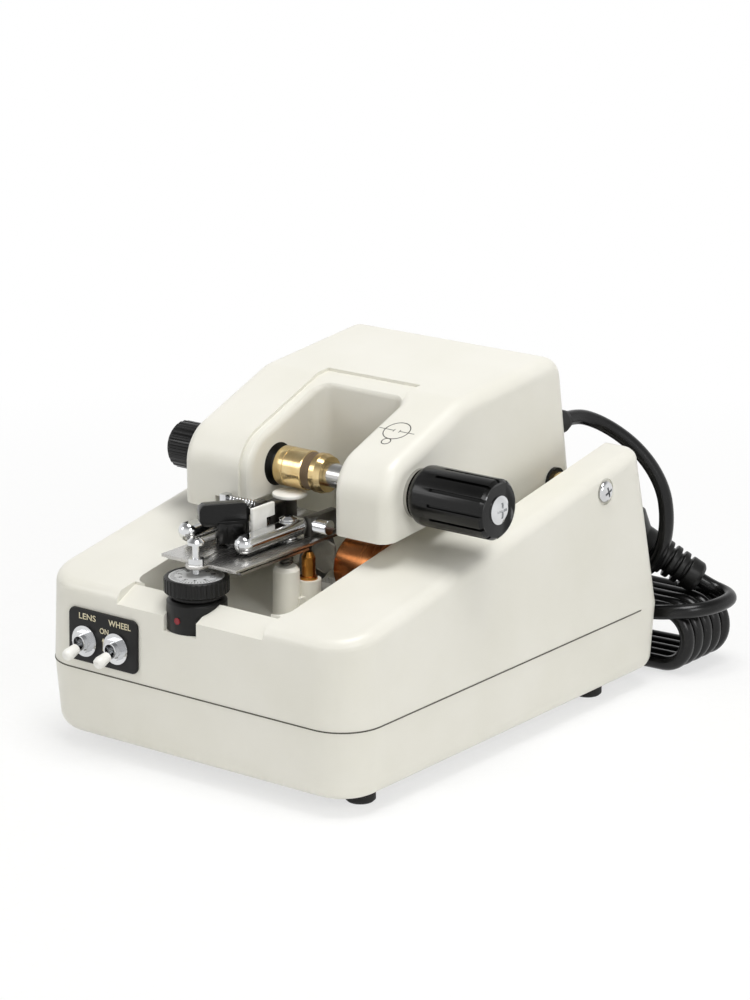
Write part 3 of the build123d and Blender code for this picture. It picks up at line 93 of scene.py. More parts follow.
# Baked enamel on a casting: satin, with the faint orange peel that spraying leaves
def creamEnamel():
    material, tree, position = newMaterial("creamEnamel")
    mottle = addNode(tree, "TexNoise", {
        "Vector": position, "Scale": 1 / (enamel["mottle"] * mm), "Detail": 3.0})
    peel = addNode(tree, "TexNoise", {
        "Vector": position, "Scale": 1 / (enamel["peel"] * mm), "Detail": 2.0})
    bump = addNode(tree, "Bump", {"Height": peel.outputs["Fac"], "Distance": enamel["peelDepth"] * mm})
    gloss = addNode(tree, "MapRange", {
        "Value": mottle.outputs["Fac"], "To Min": enamel["rough"][0], "To Max": enamel["rough"][1]})
    finishMaterial(tree, addNode(tree, "BsdfPrincipled", {
        "Base Color": tintRamp(tree, mottle.outputs["Fac"], enamel["warm"], enamel["base"]),
        "Roughness": gloss.outputs["Result"], "Normal": bump.outputs["Normal"], "IOR": 1.5}))
    return material


mouldedCloud = 6.0  # how far apart a moulding's slow changes of colour lie, in mm
moulded = {
    "knobPlastic": {"dark": "#070707", "light": "#0D0D0C", "rough": (0.16, 0.24),
                    "grain": 0.9, "depth": 0.004, "ior": 1.36},
    "mattPlastic": {"dark": "#0E0E0D", "light": "#151514", "rough": (0.36, 0.44),
                    "grain": 0.35, "depth": 0.008, "ior": 1.36},
    "rubber": {"dark": "#0F0F0F", "light": "#181817", "rough": (0.62, 0.75), "grain": 0.5, "depth": 0.02},
    "cordSheath": {"dark": "#090909", "light": "#101010", "rough": (0.2, 0.28),
                   "grain": 2.2, "depth": 0.012, "ior": 1.4},
    "tanRubber": {"dark": "#5B4932", "light": "#6E5A40", "rough": (0.5, 0.6), "grain": 0.5, "depth": 0.01},
    "whiteNylon": {"dark": "#E7E6E0", "light": "#F3F2EE", "rough": (0.38, 0.48),
                   "grain": 0.8, "depth": 0.008},
    "redEnamel": {"dark": "#7E0E1C", "light": "#9E1424", "rough": (0.25, 0.3),
                  "grain": 0.6, "depth": 0.004},
    "whitePrint": {"dark": "#D8CFAE", "light": "#E8E0C4", "rough": (0.5, 0.6),
                   "grain": 0.3, "depth": 0.002},
    "blackPrint": {"dark": "#17150F", "light": "#232019", "rough": (0.5, 0.6),
                   "grain": 0.3, "depth": 0.002},
    # seamShade is painted shade: the dark colour of the shadow in the gap between the two shells
    "seamShade": {"dark": "#4E4B42", "light": "#5A574D", "rough": (0.7, 0.8), "grain": 1.0, "depth": 0.004},
    "greyFace": {"dark": "#B9BABA", "light": "#C7C8C8", "rough": (0.3, 0.38), "grain": 0.5, "depth": 0.003},
}


# Moulded plastic or rubber: ABS is glossy where it copies a polished mould, rubber has a fine dry grain
def mouldedMaterial(name):
    look = moulded[name]
    material, tree, position = newMaterial(name)
    cloud = addNode(tree, "TexNoise", {
        "Vector": position, "Scale": 1 / (mouldedCloud * mm), "Detail": 4.0})
    grain = addNode(tree, "TexNoise", {
        "Vector": position, "Scale": 1 / (look["grain"] * mm), "Detail": 3.0})
    bump = addNode(tree, "Bump", {"Height": grain.outputs["Fac"], "Distance": look["depth"] * mm})
    rough = addNode(tree, "MapRange", {
        "Value": cloud.outputs["Fac"], "To Min": look["rough"][0], "To Max": look["rough"][1]})
    finishMaterial(tree, addNode(tree, "BsdfPrincipled", {
        "Base Color": tintRamp(tree, cloud.outputs["Fac"], look["dark"], look["light"]),
        "Roughness": rough.outputs["Result"], "Normal": bump.outputs["Normal"],
        "IOR": look.get("ior", 1.48)}))
    return material


metalCloud = 9.0
# lines is the size of the tool marks along X, Y and Z in mm; a long size draws them out that way
metals = {
    "polishedChrome": {"dark": "#C9CACB", "light": "#DDDEDF", "rough": (0.05, 0.12),
                       "lines": (4, 4, 4), "depth": 0.001},
    "brushedSteel": {"dark": "#B0AEAA", "light": "#C8C6C2", "rough": (0.2, 0.3),
                     "lines": (0.5, 30, 4), "depth": 0.0012},
    "turnedSteel": {"dark": "#B4B3B0", "light": "#C9C8C5", "rough": (0.16, 0.24),
                    "lines": (0.35, 40, 40), "depth": 0.004},
    "turnedBrass": {"dark": "#CFAF76", "light": "#E8D3A2", "rough": (0.16, 0.26),
                    "lines": (0.6, 40, 40), "depth": 0.006},
    "uprightBrass": {"dark": "#A9702F", "light": "#CC9450", "rough": (0.16, 0.26),
                     "lines": (40, 40, 0.6), "depth": 0.005},
    "copperCan": {"dark": "#7E4A28", "light": "#A0683F", "rough": (0.2, 0.3),
                  "lines": (2.5, 30, 30), "depth": 0.001},
    "blackenedSteel": {"dark": "#4A4844", "light": "#605E59", "rough": (0.28, 0.4),
                       "lines": (1.2, 3, 1.2), "depth": 0.006},
    "diamondGrit": {"dark": "#4A4A48", "light": "#8B8B88", "rough": (0.5, 0.7),
                    "lines": (0.25, 0.25, 0.25), "depth": 0.03},
}


# Bare or plated metal: the marks of grinding, turning or brushing lie along one direction
def metalMaterial(name):
    look = metals[name]
    material, tree, position = newMaterial(name)
    drawn = addNode(tree, "Mapping", {
        "Vector": position, "Scale": [1 / (size * mm) for size in look["lines"]]})
    marks = addNode(tree, "TexNoise", {"Vector": drawn.outputs["Vector"], "Scale": 1.0, "Detail": 3.0})
    cloud = addNode(tree, "TexNoise", {
        "Vector": position, "Scale": 1 / (metalCloud * mm), "Detail": 3.0})
    rough = addNode(tree, "MapRange", {
        "Value": marks.outputs["Fac"], "From Min": 0.3, "From Max": 0.7,
        "To Min": look["rough"][0], "To Max": look["rough"][1]})
    bump = addNode(tree, "Bump", {"Height": marks.outputs["Fac"], "Distance": look["depth"] * mm})
    finishMaterial(tree, addNode(tree, "BsdfPrincipled", {
        "Base Color": tintRamp(tree, cloud.outputs["Fac"], look["dark"], look["light"]), "Metallic": 1.0,
        "Roughness": rough.outputs["Result"], "Normal": bump.outputs["Normal"]}))
    return material


acrylic = {"dark": "#CFCCC2", "light": "#DEDCD4", "haze": 4.0, "rough": (0.12, 0.3), "clear": 0.8}


# Smoked clear acrylic, a little hazy from coolant
def clearGuard():
    material, tree, position = newMaterial("smokedAcrylic")
    haze = addNode(tree, "TexNoise", {
        "Vector": position, "Scale": 1 / (acrylic["haze"] * mm), "Detail": 4.0})
    rough = addNode(tree, "MapRange", {
        "Value": haze.outputs["Fac"], "To Min": acrylic["rough"][0], "To Max": acrylic["rough"][1]})
    finishMaterial(tree, addNode(tree, "BsdfPrincipled", {
        "Base Color": tintRamp(tree, haze.outputs["Fac"], acrylic["dark"], acrylic["light"]),
        "Roughness": rough.outputs["Result"], "Transmission Weight": acrylic["clear"], "IOR": 1.49}))
    return material


finishes = {"creamEnamel": creamEnamel(), "smokedAcrylic": clearGuard()}
finishes.update({name: mouldedMaterial(name) for name in moulded})
finishes.update({name: metalMaterial(name) for name in metals})

nodeFinishes = {
    "creamEnamel": ["upper_shell", "lower_shell", "head_shell", "head_cover"],
    "tanRubber": ["left_pad", "right_pad"],
    "rubber": ["rubber_feet", "dial_ring", "head_grommet", "base_glands"],
    "mattPlastic": ["dial_holder", "switch_plate", "spindle_bushes", "mains_plug", "depth_dial"],
    "knobPlastic": ["left_knob", "clamp_knob", "position_knob", "pivot_washers"],
    "cordSheath": ["link_cable", "mains_cord", "cord_hank", "plug_cord"],
    "whiteNylon": ["nylon_guides", "lens_toggle_sleeve", "wheel_toggle_sleeve"],
    "greyFace": ["dial_face"],
    "redEnamel": ["index_dot"],
    "polishedChrome": ["switch_bodies", "switch_nuts", "lens_toggle", "wheel_toggle", "right_guide_arm",
                       "left_guide_arm", "arm_screws", "knob_screw", "pivot_screws", "adjust_screw",
                       "knurled_screw", "arm_spring"],
    "turnedSteel": ["clamp_shaft", "lens_spindle", "spindle_gear", "motor_pinion", "wheel_shaft",
                    "lens_motor", "knob_washer", "foot_screws"],
    "brushedSteel": ["guide_plate", "plate_underlay", "hinge_bracket"],
    "turnedBrass": ["lens_chuck", "clamp_cap", "brass_bushes"],
    "uprightBrass": ["brass_column"],
    "copperCan": ["wheel_motor"],
    "blackenedSteel": ["guide_carrier", "plate_spring"],
    "diamondGrit": ["grinding_wheel"],
    "smokedAcrylic": ["splash_guard"],
}
for finish, nodes in nodeFinishes.items():
    for node in nodes:
        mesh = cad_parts[node].data
        mesh.materials.clear()
        mesh.materials.append(finishes[finish])
print("materials on", len(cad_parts), "nodes")


def deselectAll():
    if bpy.context.object and bpy.context.object.mode != "OBJECT":
        bpy.ops.object.mode_set(mode="OBJECT")
    bpy.ops.object.select_all(action="DESELECT")


def selectOnly(piece):
    deselectAll()
    piece.select_set(True)
    bpy.context.view_layer.objects.active = piece


# Names a finished piece, settles its place into its mesh and hands it to its body
def finishPiece(piece, name, finish, body):
    selectOnly(piece)
    bpy.ops.object.transform_apply(location=True, rotation=True, scale=True)
    piece.name = piece.data.name = name
    piece.data.materials.clear()
    piece.data.materials.append(finishes[finish])
    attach(piece, body)
    return piece


def addModifier(piece, kind, **settings):
    selectOnly(piece)
    modifier = piece.modifiers.new(kind.title(), kind)
    for name, value in settings.items():
        setattr(modifier, name, value)
    bpy.ops.object.modifier_apply(modifier=modifier.name)


def joinPieces(pieces):
    deselectAll()
    for piece in pieces:
        piece.select_set(True)
    bpy.context.view_layer.objects.active = pieces[0]
    bpy.ops.object.join()
    return pieces[0]


cordMesh = {"round": 6, "along": 8}  # how finely a cord is divided


# Cords. A smooth line with the route's points as its control points, as thick as the cord
def cordLine(name, points, thickness):
    curve = bpy.data.curves.new(name, "CURVE")
    curve.dimensions = "3D"
    curve.bevel_depth = thickness / 2 * mm
    curve.bevel_resolution = cordMesh["round"]
    curve.resolution_u = cordMesh["along"]
    line = curve.splines.new("NURBS")
    line.points.add(len(points) - 1)
    for point, where in zip(line.points, points):
        point.co = (*place(*where), 1.0)
    line.order_u = 3
    line.use_endpoint_u = True
    curve.use_fill_caps = True
    cord = bpy.data.objects.new(name, curve)
    bpy.context.collection.objects.link(cord)
    curve.materials.append(finishes["cordSheath"])
    return cord


linkCable = {
    "thickness": 6.3,
    "length": 0.114,
    "route": [
        (46.0, 187.313, 114.0), (46.0, 195.5, 114.0), (49.2, 204.4, 110.8), (55.0, 211.6, 105.3),
        (61.6, 217.2, 98.2), (68.0, 220.9, 89.2), (72.6, 222.6, 79.2), (74.0, 223.0, 69.0),
        (73.0, 223.6, 59.5), (69.8, 225.0, 51.6), (65.6, 226.6, 45.6), (61.6, 223.6, 41.8),
        (60.0, 213.34, 41.0),
    ],
}
mainsLead = {
    "thickness": 6.3,
    "length": 1.5,
    "fromGland": [(-56.0, 220.45, 18.0), (-56.0, 230.0, 18.0), (-48.5, 243.0, 22.5), (-35.5, 252.0, 27.2)],
    "toPlug": [
        (71.0, 217.5, 27.2), (80.5, 217.7, 29.0), (88.4, 222.3, 29.9), (93.3, 231.5, 30.4),
        (93.5, 242.6, 30.6), (90.6, 247.2, 30.7), (85.8, 249.6, 31.0), (80.4, 249.0, 32.3),
        (76.0, 246.4, 35.5),
    ],
    "turns": 5, "pitch": 6.9, "far": 252.0, "radius": 12.0, "low": 3.2,
    "left": -20.0, "right": 72.5, "out": 60.0,
    "before": 0.496, "after": 0.372,  # how far a straight run stops short of an end's half circle, in radii
}


# One end of a hank's turn: control points outside its half circle, which the line touches from within
def hankEnd(centre, back, middle, radius, side):
    corners = []
    for step in range(4):
        angle = math.radians(22.5 + 45 * step)
        reach = radius / math.cos(math.radians(22.5))
        corners.append((centre + side * reach * math.sin(angle), back,
                        middle + side * reach * math.cos(angle)))
    return corners


# The mains lead from its gland, round the hank's turns and back over them to the plug
def hankRoute(lead):
    radius, left, right = lead["radius"], lead["left"], lead["right"]
    middle = lead["low"] + radius
    top, low = middle + radius, lead["low"]
    before, after = lead["before"] * radius, lead["after"] * radius
    points = list(lead["fromGland"])
    for turn in range(lead["turns"]):
        back = lead["far"] - lead["pitch"] * turn
        ahead = back - lead["pitch"]
        points += [(left + after, back, top), (right - before, back, top)]
        points += hankEnd(right, back, middle, radius, 1)
        points += [(right - before, back, low), (left + before, ahead, low)]
        points += hankEnd(left, ahead, middle, radius, -1)
    points += [(left + after, ahead, top), (lead["out"], ahead, top)]
    return points + lead["toPlug"]


link = cordLine("linkCable", linkCable["route"], linkCable["thickness"])
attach(link, "housing")
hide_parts("link_cable")
mains = cordLine("mainsLead", hankRoute(mainsLead), mainsLead["thickness"])
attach(mains, "housing")
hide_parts("mains_cord", "cord_hank", "plug_cord")
print("cords laid")

# The line between the two shells: a thin dark band, painted shade standing in for the shadow in the narrow
# gap where the shells meet
seam = {"height": 35.6, "width": 160.0, "depth": 211.4, "frontRadius": 18.0, "rearRadius": 8.0,
        "steps": 14, "line": 0.5, "wall": 0.3, "proud": 0.03}


def seamLine():
    deselectAll()
    middle = place(0, seam["depth"] / 2, seam["height"] - seam["line"] / 2)
    bpy.ops.mesh.primitive_plane_add(size=1, location=middle)
    line = bpy.context.object
    line.scale = ((seam["width"] + 2 * seam["proud"]) * mm,
                  (seam["depth"] + 2 * seam["proud"]) * mm, 1)
    bpy.ops.object.transform_apply(location=True, rotation=True, scale=True)
    for front, radius in ((True, seam["frontRadius"]), (False, seam["rearRadius"])):
        bpy.ops.object.mode_set(mode="OBJECT")
        for vertex in line.data.vertices:
            vertex.select = (vertex.co.y < middle.y) == front
        bpy.ops.object.mode_set(mode="EDIT")
        bpy.ops.mesh.bevel(offset=radius * mm, offset_type="OFFSET", segments=seam["steps"],
                           affect="VERTICES", clamp_overlap=False)
    bpy.ops.mesh.select_all(action="SELECT")
    bpy.ops.mesh.delete(type="ONLY_FACE")
    bpy.ops.mesh.select_all(action="SELECT")
    bpy.ops.mesh.extrude_region_move(TRANSFORM_OT_translate={"value": (0, 0, seam["line"] * mm)})
    bpy.ops.object.mode_set(mode="OBJECT")
    addModifier(line, "SOLIDIFY", thickness=seam["wall"] * mm, offset=0.0)
    finishPiece(line, "seamLine", "seamShade", "housing")


seamLine()


# Thickness, added weight of the letters (a share of their size), height over the face, and how near
# doubled points are merged
ink = {"wordThick": 0.015, "bold": 0.012, "shapeThick": 0.03, "lift": 0.02,
       "wordMerge": 1e-5, "shapeMerge": 1e-7}


# Flat print, scaled to its width and height and laid on a face by its middle, its right and its outward side
def layPrint(piece, width, height, middle, right, outward):
    corners = [Vector(corner) for corner in piece.bound_box]
    low = Vector(min(c[i] for c in corners) for i in range(3))
    high = Vector(max(c[i] for c in corners) for i in range(3))
    up = outward.cross(right).normalized()
    turn = Matrix((right.normalized(), up, outward.normalized())).transposed().to_4x4()
    fit = Matrix.Diagonal((width * mm / (high.x - low.x), height * mm / (high.y - low.y), 1, 1))
    onFace = Matrix.Translation(middle + outward.normalized() * ink["lift"] * mm)
    piece.data.transform(onFace @ turn @ fit @ Matrix.Translation(-(low + high) / 2))


def printWord(word, width, height, middle, right, outward):
    deselectAll()
    bpy.ops.object.text_add(location=(0, 0, 0))
    text = bpy.context.object
    text.data.body = word
    text.data.extrude = ink["wordThick"] * mm
    text.data.offset = ink["bold"]
    bpy.ops.object.convert(target="MESH")
    piece = bpy.context.object
    bpy.ops.object.mode_set(mode="EDIT")
    bpy.ops.mesh.select_all(action="SELECT")
    bpy.ops.mesh.remove_doubles(threshold=ink["wordMerge"])
    bpy.ops.object.mode_set(mode="OBJECT")
    layPrint(piece, width, height, middle, right, outward)
    return piece


# Where a line of sight meets a CAD piece, and which way that face looks
def faceAt(node, start, direction):
    _, where, normal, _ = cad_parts[node].ray_cast(start, direction)
    return where, normal


switchWords = {
    "LENS": {"at": (-51.5, 58.25), "size": (8.8, 2.5)},
    "WHEEL": {"at": (-34.6, 58.1), "size": (11.6, 2.5)},
    "ON": {"at": (-42.7, 54.0), "size": (4.6, 2.3)},
}
fromFront = -30  # a line of sight starts this far ahead of the machine
switchArrow = {"at": (-43.2, 48.6), "size": (1.3, 5.4), "points": [
    (-0.16, -1), (0.16, -1), (0.16, 0.45), (0.5, 0.45), (0, 1), (-0.5, 0.45), (-0.16, 0.45)]}


# Any flat outline as thin print
def printShape(points):
    mesh = bpy.data.meshes.new("print")
    mesh.from_pydata([(x, y, 0) for x, y in points], [], [tuple(range(len(points)))])
    piece = bpy.data.objects.new("print", mesh)
    bpy.context.collection.objects.link(piece)
    addModifier(piece, "SOLIDIFY", thickness=ink["shapeThick"] * mm, offset=0.0)
    return piece


def switchPrint():
    parts = []
    for word, look in switchWords.items():
        across, up = look["at"]
        where, outward = faceAt("switch_plate", place(across, fromFront, up), Vector((0, 1, 0)))
        parts.append(printWord(word, *look["size"], where, Vector((1, 0, 0)), outward))
    across, up = switchArrow["at"]
    where, outward = faceAt("switch_plate", place(across, fromFront, up), Vector((0, 1, 0)))
    arrow = printShape(switchArrow["points"])
    layPrint(arrow, *switchArrow["size"], where, Vector((1, 0, 0)), outward)
    parts.append(arrow)
    finishPiece(joinPieces(parts), "switchPrint", "whitePrint", "housing")


switchPrint()

dialMarks = {"middle": (-5.5, 12.4, 80.9), "numbers": 10, "numberRadius": 6.7, "numberSize": (1.3, 1.9),
             "ticks": 50, "tickInner": 8.6, "longInner": 8.0, "tickOuter": 10.3, "tickWidth": 0.22}


# The depth scale: numbers and ticks round the dial's face
def dialPrint():
    middle, outward = place(*dialMarks["middle"]), Vector((0, 0, 1))
    parts = []
    for number in range(dialMarks["numbers"]):
        angle = math.radians(90 - 360 * number / dialMarks["numbers"])
        out = Vector((math.cos(angle), math.sin(angle), 0))
        across = Vector((math.sin(angle), -math.cos(angle), 0))
        parts.append(printWord(str(number), *dialMarks["numberSize"],
                               middle + out * dialMarks["numberRadius"] * mm, across, outward))
    perNumber = dialMarks["ticks"] // dialMarks["numbers"]
    for tick in range(dialMarks["ticks"]):
        angle = math.radians(90 - 360 * tick / dialMarks["ticks"])
        out = Vector((math.cos(angle), math.sin(angle), 0))
        inner = dialMarks["longInner"] if tick % perNumber == 0 else dialMarks["tickInner"]
        mark = printShape([(-1, -1), (1, -1), (1, 1), (-1, 1)])
        layPrint(mark, dialMarks["tickWidth"], dialMarks["tickOuter"] - inner,
                 middle + out * (dialMarks["tickOuter"] + inner) / 2 * mm,
                 Vector((math.sin(angle), -math.cos(angle), 0)), outward)
        parts.append(mark)
    finishPiece(joinPieces(parts), "dialPrint", "blackPrint", "dial")


dialPrint()

# Plain symbol on the right arm: a round lens on its axis with the small wheel at its edge
symbol = {"at": (37.0, 85.0), "lens": 5.6, "wheel": 1.9, "line": 0.42, "thin": 0.3,
          "axis": (1.2, 8.6), "flange": (1.2, 1.5), "flangeHalf": 0.9, "above": 200}


def ringPoints(radius, line, centre=(0, 0), steps=48):
    outer, inner = [], []
    for step in range(steps + 1):
        angle = 2 * math.pi * step / steps
        way = Vector((math.cos(angle), math.sin(angle)))
        outer.append(tuple(Vector(centre) + way * (radius + line / 2)))
        inner.append(tuple(Vector(centre) + way * (radius - line / 2)))
    return outer, inner


def armSymbol():
    where, outward = faceAt("head_shell", place(*symbol["at"], symbol["above"]), Vector((0, 0, -1)))
    right = Vector((1, 0, 0))
    up = outward.cross(right).normalized()
    points, faces = [], []
    wheelCentre = (0, -symbol["lens"] - symbol["wheel"])
    for radius, centre in ((symbol["lens"], (0, 0)), (symbol["wheel"], wheelCentre)):
        outer, inner = ringPoints(radius, symbol["line"], centre)
        first = len(points)
        points += outer + inner
        count = len(outer)
        faces += [(first + i, first + i + 1, first + count + i + 1, first + count + i)
                  for i in range(count - 1)]
    strokes = ((symbol["axis"], symbol["thin"] / 2), (symbol["flange"], symbol["flangeHalf"]))
    for side in (-1, 1):
        for (near, far), half in strokes:
            first = len(points)
            points += [(side * near, -half), (side * far, -half), (side * far, half), (side * near, half)]
            faces.append((first, first + 1, first + 2, first + 3))
    mesh = bpy.data.meshes.new("armSymbol")
    laid = [where + (right * x + up * y + outward * ink["lift"]) * mm for x, y in points]
    mesh.from_pydata(laid, [], faces)
    piece = bpy.data.objects.new("armSymbol", mesh)
    bpy.context.collection.objects.link(piece)
    selectOnly(piece)
    bpy.ops.object.mode_set(mode="EDIT")
    bpy.ops.mesh.select_all(action="SELECT")
    bpy.ops.mesh.remove_doubles(threshold=ink["shapeMerge"])
    bpy.ops.mesh.normals_make_consistent(inside=False)
    bpy.ops.object.mode_set(mode="OBJECT")
    addModifier(piece, "SOLIDIFY", thickness=ink["shapeThick"] * mm, offset=0.0)
    finishPiece(piece, "armSymbol", "blackPrint", "head")


armSymbol()
print("print and seam added")

# Copies of CAD pieces with their sharp edges broken: edge width in mm, body, finish and the record's slot
brokenEdges = {
    "position_knob": (1.1, "knob", "knobPlastic", "black_plastic"),
    "guide_carrier": (0.5, "plate", "blackenedSteel", "dark_steel"),
    "nylon_guides": (0.3, "plate", "whiteNylon", "white_plastic"),
    "guide_plate": (0.35, "plate", "brushedSteel", "steel"),
    "hinge_bracket": (0.4, "housing", "brushedSteel", "steel"),
    "switch_plate": (0.25, "housing", "mattPlastic", "dark_steel"),
    "dial_holder": (0.35, "housing", "mattPlastic", "black_plastic"),
    "depth_dial": (0.25, "dial", "mattPlastic", "black_plastic"),
    "clamp_knob": (0.3, "clamp_handle", "knobPlastic", "black_gloss"),
    "left_knob": (0.25, "spindle", "knobPlastic", "black_gloss"),
    "mains_plug": (0.5, "housing", "mattPlastic", "black_plastic"),
}


edgeWork = {"merge": 2e-6, "flat": 1.0, "sharp": 32, "segments": 3}  # metres, then degrees
smoothAngle = math.radians(35)


def breakEdges(node, width, body, finish, slot):
    piece = bpy.data.objects.new(node + "Soft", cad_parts[node].data.copy())
    bpy.context.collection.objects.link(piece)
    selectOnly(piece)
    bpy.ops.object.mode_set(mode="EDIT")
    bpy.ops.mesh.select_all(action="SELECT")
    bpy.ops.mesh.remove_doubles(threshold=edgeWork["merge"])
    bpy.ops.mesh.dissolve_limited(angle_limit=math.radians(edgeWork["flat"]))
    bpy.ops.mesh.select_all(action="DESELECT")
    bpy.ops.mesh.select_mode(type="EDGE")
    bpy.ops.mesh.edges_select_sharp(sharpness=math.radians(edgeWork["sharp"]))
    bpy.ops.mesh.bevel(offset=width * mm, segments=edgeWork["segments"], affect="EDGES",
                       clamp_overlap=True)
    bpy.ops.object.mode_set(mode="OBJECT")
    bpy.ops.object.shade_smooth_by_angle(angle=smoothAngle)
    finishPiece(piece, node + "Soft", finish, body)
    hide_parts(node)
    return piece


softPieces = {node: breakEdges(node, *look) for node, look in brokenEdges.items()}
print("edges broken on", len(softPieces), "pieces")

# Knurled locking screw: a diamond knurl rolled between two plain ends
knurl = {"from": 7.4, "to": 14.8, "at": (70.0, 90.0), "radius": 2.95, "depth": 0.34, "around": 40,
         "rows": 16}


def knurledScrew():
    deselectAll()
    bpy.ops.mesh.primitive_cylinder_add(vertices=knurl["around"], radius=knurl["radius"] * mm, depth=1,
                                        end_fill_type="NGON")
    screw = bpy.context.object
    bpy.ops.object.mode_set(mode="EDIT")
    bpy.ops.mesh.select_all(action="DESELECT")
    bpy.ops.mesh.select_mode(type="EDGE")
    bpy.ops.object.mode_set(mode="OBJECT")
    for edge in screw.data.edges:
        ends = [screw.data.vertices[i].co.z for i in edge.vertices]
        edge.select = abs(ends[0] - ends[1]) > 0.5
    bpy.ops.object.mode_set(mode="EDIT")
    bpy.ops.mesh.subdivide(number_cuts=knurl["rows"], quadcorner="INNERVERT")
    bpy.ops.mesh.select_mode(type="FACE")
    bpy.ops.object.mode_set(mode="OBJECT")
    turn = Matrix.Rotation(math.radians(90), 4, "Y")
    length = knurl["to"] - knurl["from"]
    middle = place((knurl["from"] + knurl["to"]) / 2, *knurl["at"])
    for vertex in screw.data.vertices:
        row = round((vertex.co.z + 0.5) * (knurl["rows"] + 1))
        column = round(math.atan2(vertex.co.y, vertex.co.x) / (2 * math.pi) * knurl["around"])
        deep = (row + column) % 2 and 0 < row < knurl["rows"] + 1
        scale = 1 - knurl["depth"] / knurl["radius"] * (1 if deep else 0)
        vertex.co = Vector((vertex.co.x * scale, vertex.co.y * scale, vertex.co.z * length * mm))
        vertex.co = middle + turn @ vertex.co
    finishPiece(screw, "knurledScrew", "polishedChrome", "lock_screw")
    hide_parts("knurled_screw")


knurledScrew()

# Tapered, ribbed sleeve where the mains lead leaves its gland; it follows the lead's own line
relief = {"length": 22.0, "from": 5.0, "to": 3.9, "ribEvery": 2.6, "ribShare": 0.55, "ribDepth": 0.5,
          "step": 0.65, "round": 8}


# The points of a cord's own smooth line
def linePoints(cord):
    flat = cord.data.copy()
    flat.bevel_depth = 0
    flat.use_fill_caps = False
    bare = bpy.data.objects.new("bareLine", flat)
    mesh = bpy.data.meshes.new_from_object(bare)
    points = [vertex.co.copy() for vertex in mesh.vertices]
    bpy.data.objects.remove(bare)
    bpy.data.curves.remove(flat)
    bpy.data.meshes.remove(mesh)
    return points


def cordSleeve(name, cord, look, body):
    points = linePoints(cord)
    route, gone = [], 0.0
    for here, after in zip(points, points[1:]):
        steps = max(1, round((after - here).length / (look["step"] * mm)))
        for step in range(steps):
            if gone <= look["length"] * mm:
                route.append((here.lerp(after, step / steps), gone))
            gone += (after - here).length / steps
    curve = bpy.data.curves.new(name, "CURVE")
    curve.dimensions = "3D"
    curve.bevel_depth = look["from"] * mm
    curve.bevel_resolution = look["round"]
    curve.use_fill_caps = True
    line = curve.splines.new("POLY")
    line.points.add(len(route) - 1)
    for point, (where, far) in zip(line.points, route):
        share = far / (look["length"] * mm)
        groove = (far / mm) % look["ribEvery"] > look["ribEvery"] * look["ribShare"]
        rib = look["ribDepth"] if groove else 0
        point.co = (*where, 1.0)
        point.radius = (look["from"] + (look["to"] - look["from"]) * share - rib) / look["from"]
    sleeve = bpy.data.objects.new(name, curve)
    bpy.context.collection.objects.link(sleeve)
    selectOnly(sleeve)
    bpy.ops.object.convert(target="MESH")
    return finishPiece(sleeve, name, "rubber", body)


sleeve = cordSleeve("mainsRelief", mains, relief, "housing")
print("screw and relief made")

# Pan head screws in the cheeks. The profile is (out from the middle plane, radius), and the cross is
# a driver's recess: its width, length and depth, and its turn in degrees
pivotScrew = {
    "line": (170.4, 92.5), "steps": 48, "cross": (1.0, 4.6, 1.5), "crossTurn": 20.0,
    "profile": [
        (42.0, 2.5), (77.6, 2.5), (77.6, 4.1), (77.75, 4.4), (78.1, 4.5), (78.5, 4.42), (79.0, 4.15),
        (79.4, 3.7), (79.7, 3.05), (79.9, 2.2), (79.97, 1.2),
    ],
}


def pivotScrewHead(side):
    deselectAll()
    profile = pivotScrew["profile"]
    bpy.ops.mesh.primitive_circle_add(vertices=pivotScrew["steps"], radius=profile[0][1] * mm,
                                      fill_type="NGON", location=(0, 0, profile[0][0] * mm))
    screw = bpy.context.object
    bpy.ops.object.mode_set(mode="EDIT")
    bpy.ops.mesh.select_all(action="SELECT")
    for (out, radius), (nextOut, nextRadius) in zip(profile, profile[1:]):
        bpy.ops.mesh.extrude_region_move(TRANSFORM_OT_translate={"value": (0, 0, (nextOut - out) * mm)})
        grow = nextRadius / radius
        bpy.ops.transform.resize(value=(grow, grow, 1), center_override=(0, 0, nextOut * mm))
    bpy.ops.mesh.select_all(action="SELECT")
    bpy.ops.mesh.normals_make_consistent(inside=False)
    bpy.ops.object.mode_set(mode="OBJECT")
    wide, long, deep = pivotScrew["cross"]
    for size in ((wide, long), (long, wide)):
        deselectAll()
        bpy.ops.mesh.primitive_cube_add(size=1, location=(0, 0, profile[-1][0] * mm))
        slot = bpy.context.object
        slot.scale = (size[0] * mm, size[1] * mm, 2 * deep * mm)
        slot.rotation_euler.z = math.radians(pivotScrew["crossTurn"])
        bpy.ops.object.transform_apply(location=True, rotation=True, scale=True)
        addModifier(screw, "BOOLEAN", object=slot, operation="DIFFERENCE", solver="EXACT")
        bpy.data.objects.remove(slot)
    selectOnly(screw)
    bpy.ops.object.transform_apply(location=True, rotation=True, scale=True)
    bpy.ops.object.shade_smooth_by_angle(angle=smoothAngle)
    turn = Matrix.Rotation(math.radians(side * 90), 4, "Y")
    screw.data.transform(Matrix.Translation(place(0, *pivotScrew["line"])) @ turn)
    return screw


bothScrews = joinPieces([pivotScrewHead(side) for side in (-1, 1)])
screws = finishPiece(bothScrews, "cheekScrews", "polishedChrome", "housing")
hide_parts("pivot_screws")
print("cheek screws made")

stage = {"floorSize": 12.0, "below": 0.0002, "shadowShare": 0.34, "shadowFrom": 0.15, "shadowReach": 0.55,
         "fibre": 3.0}


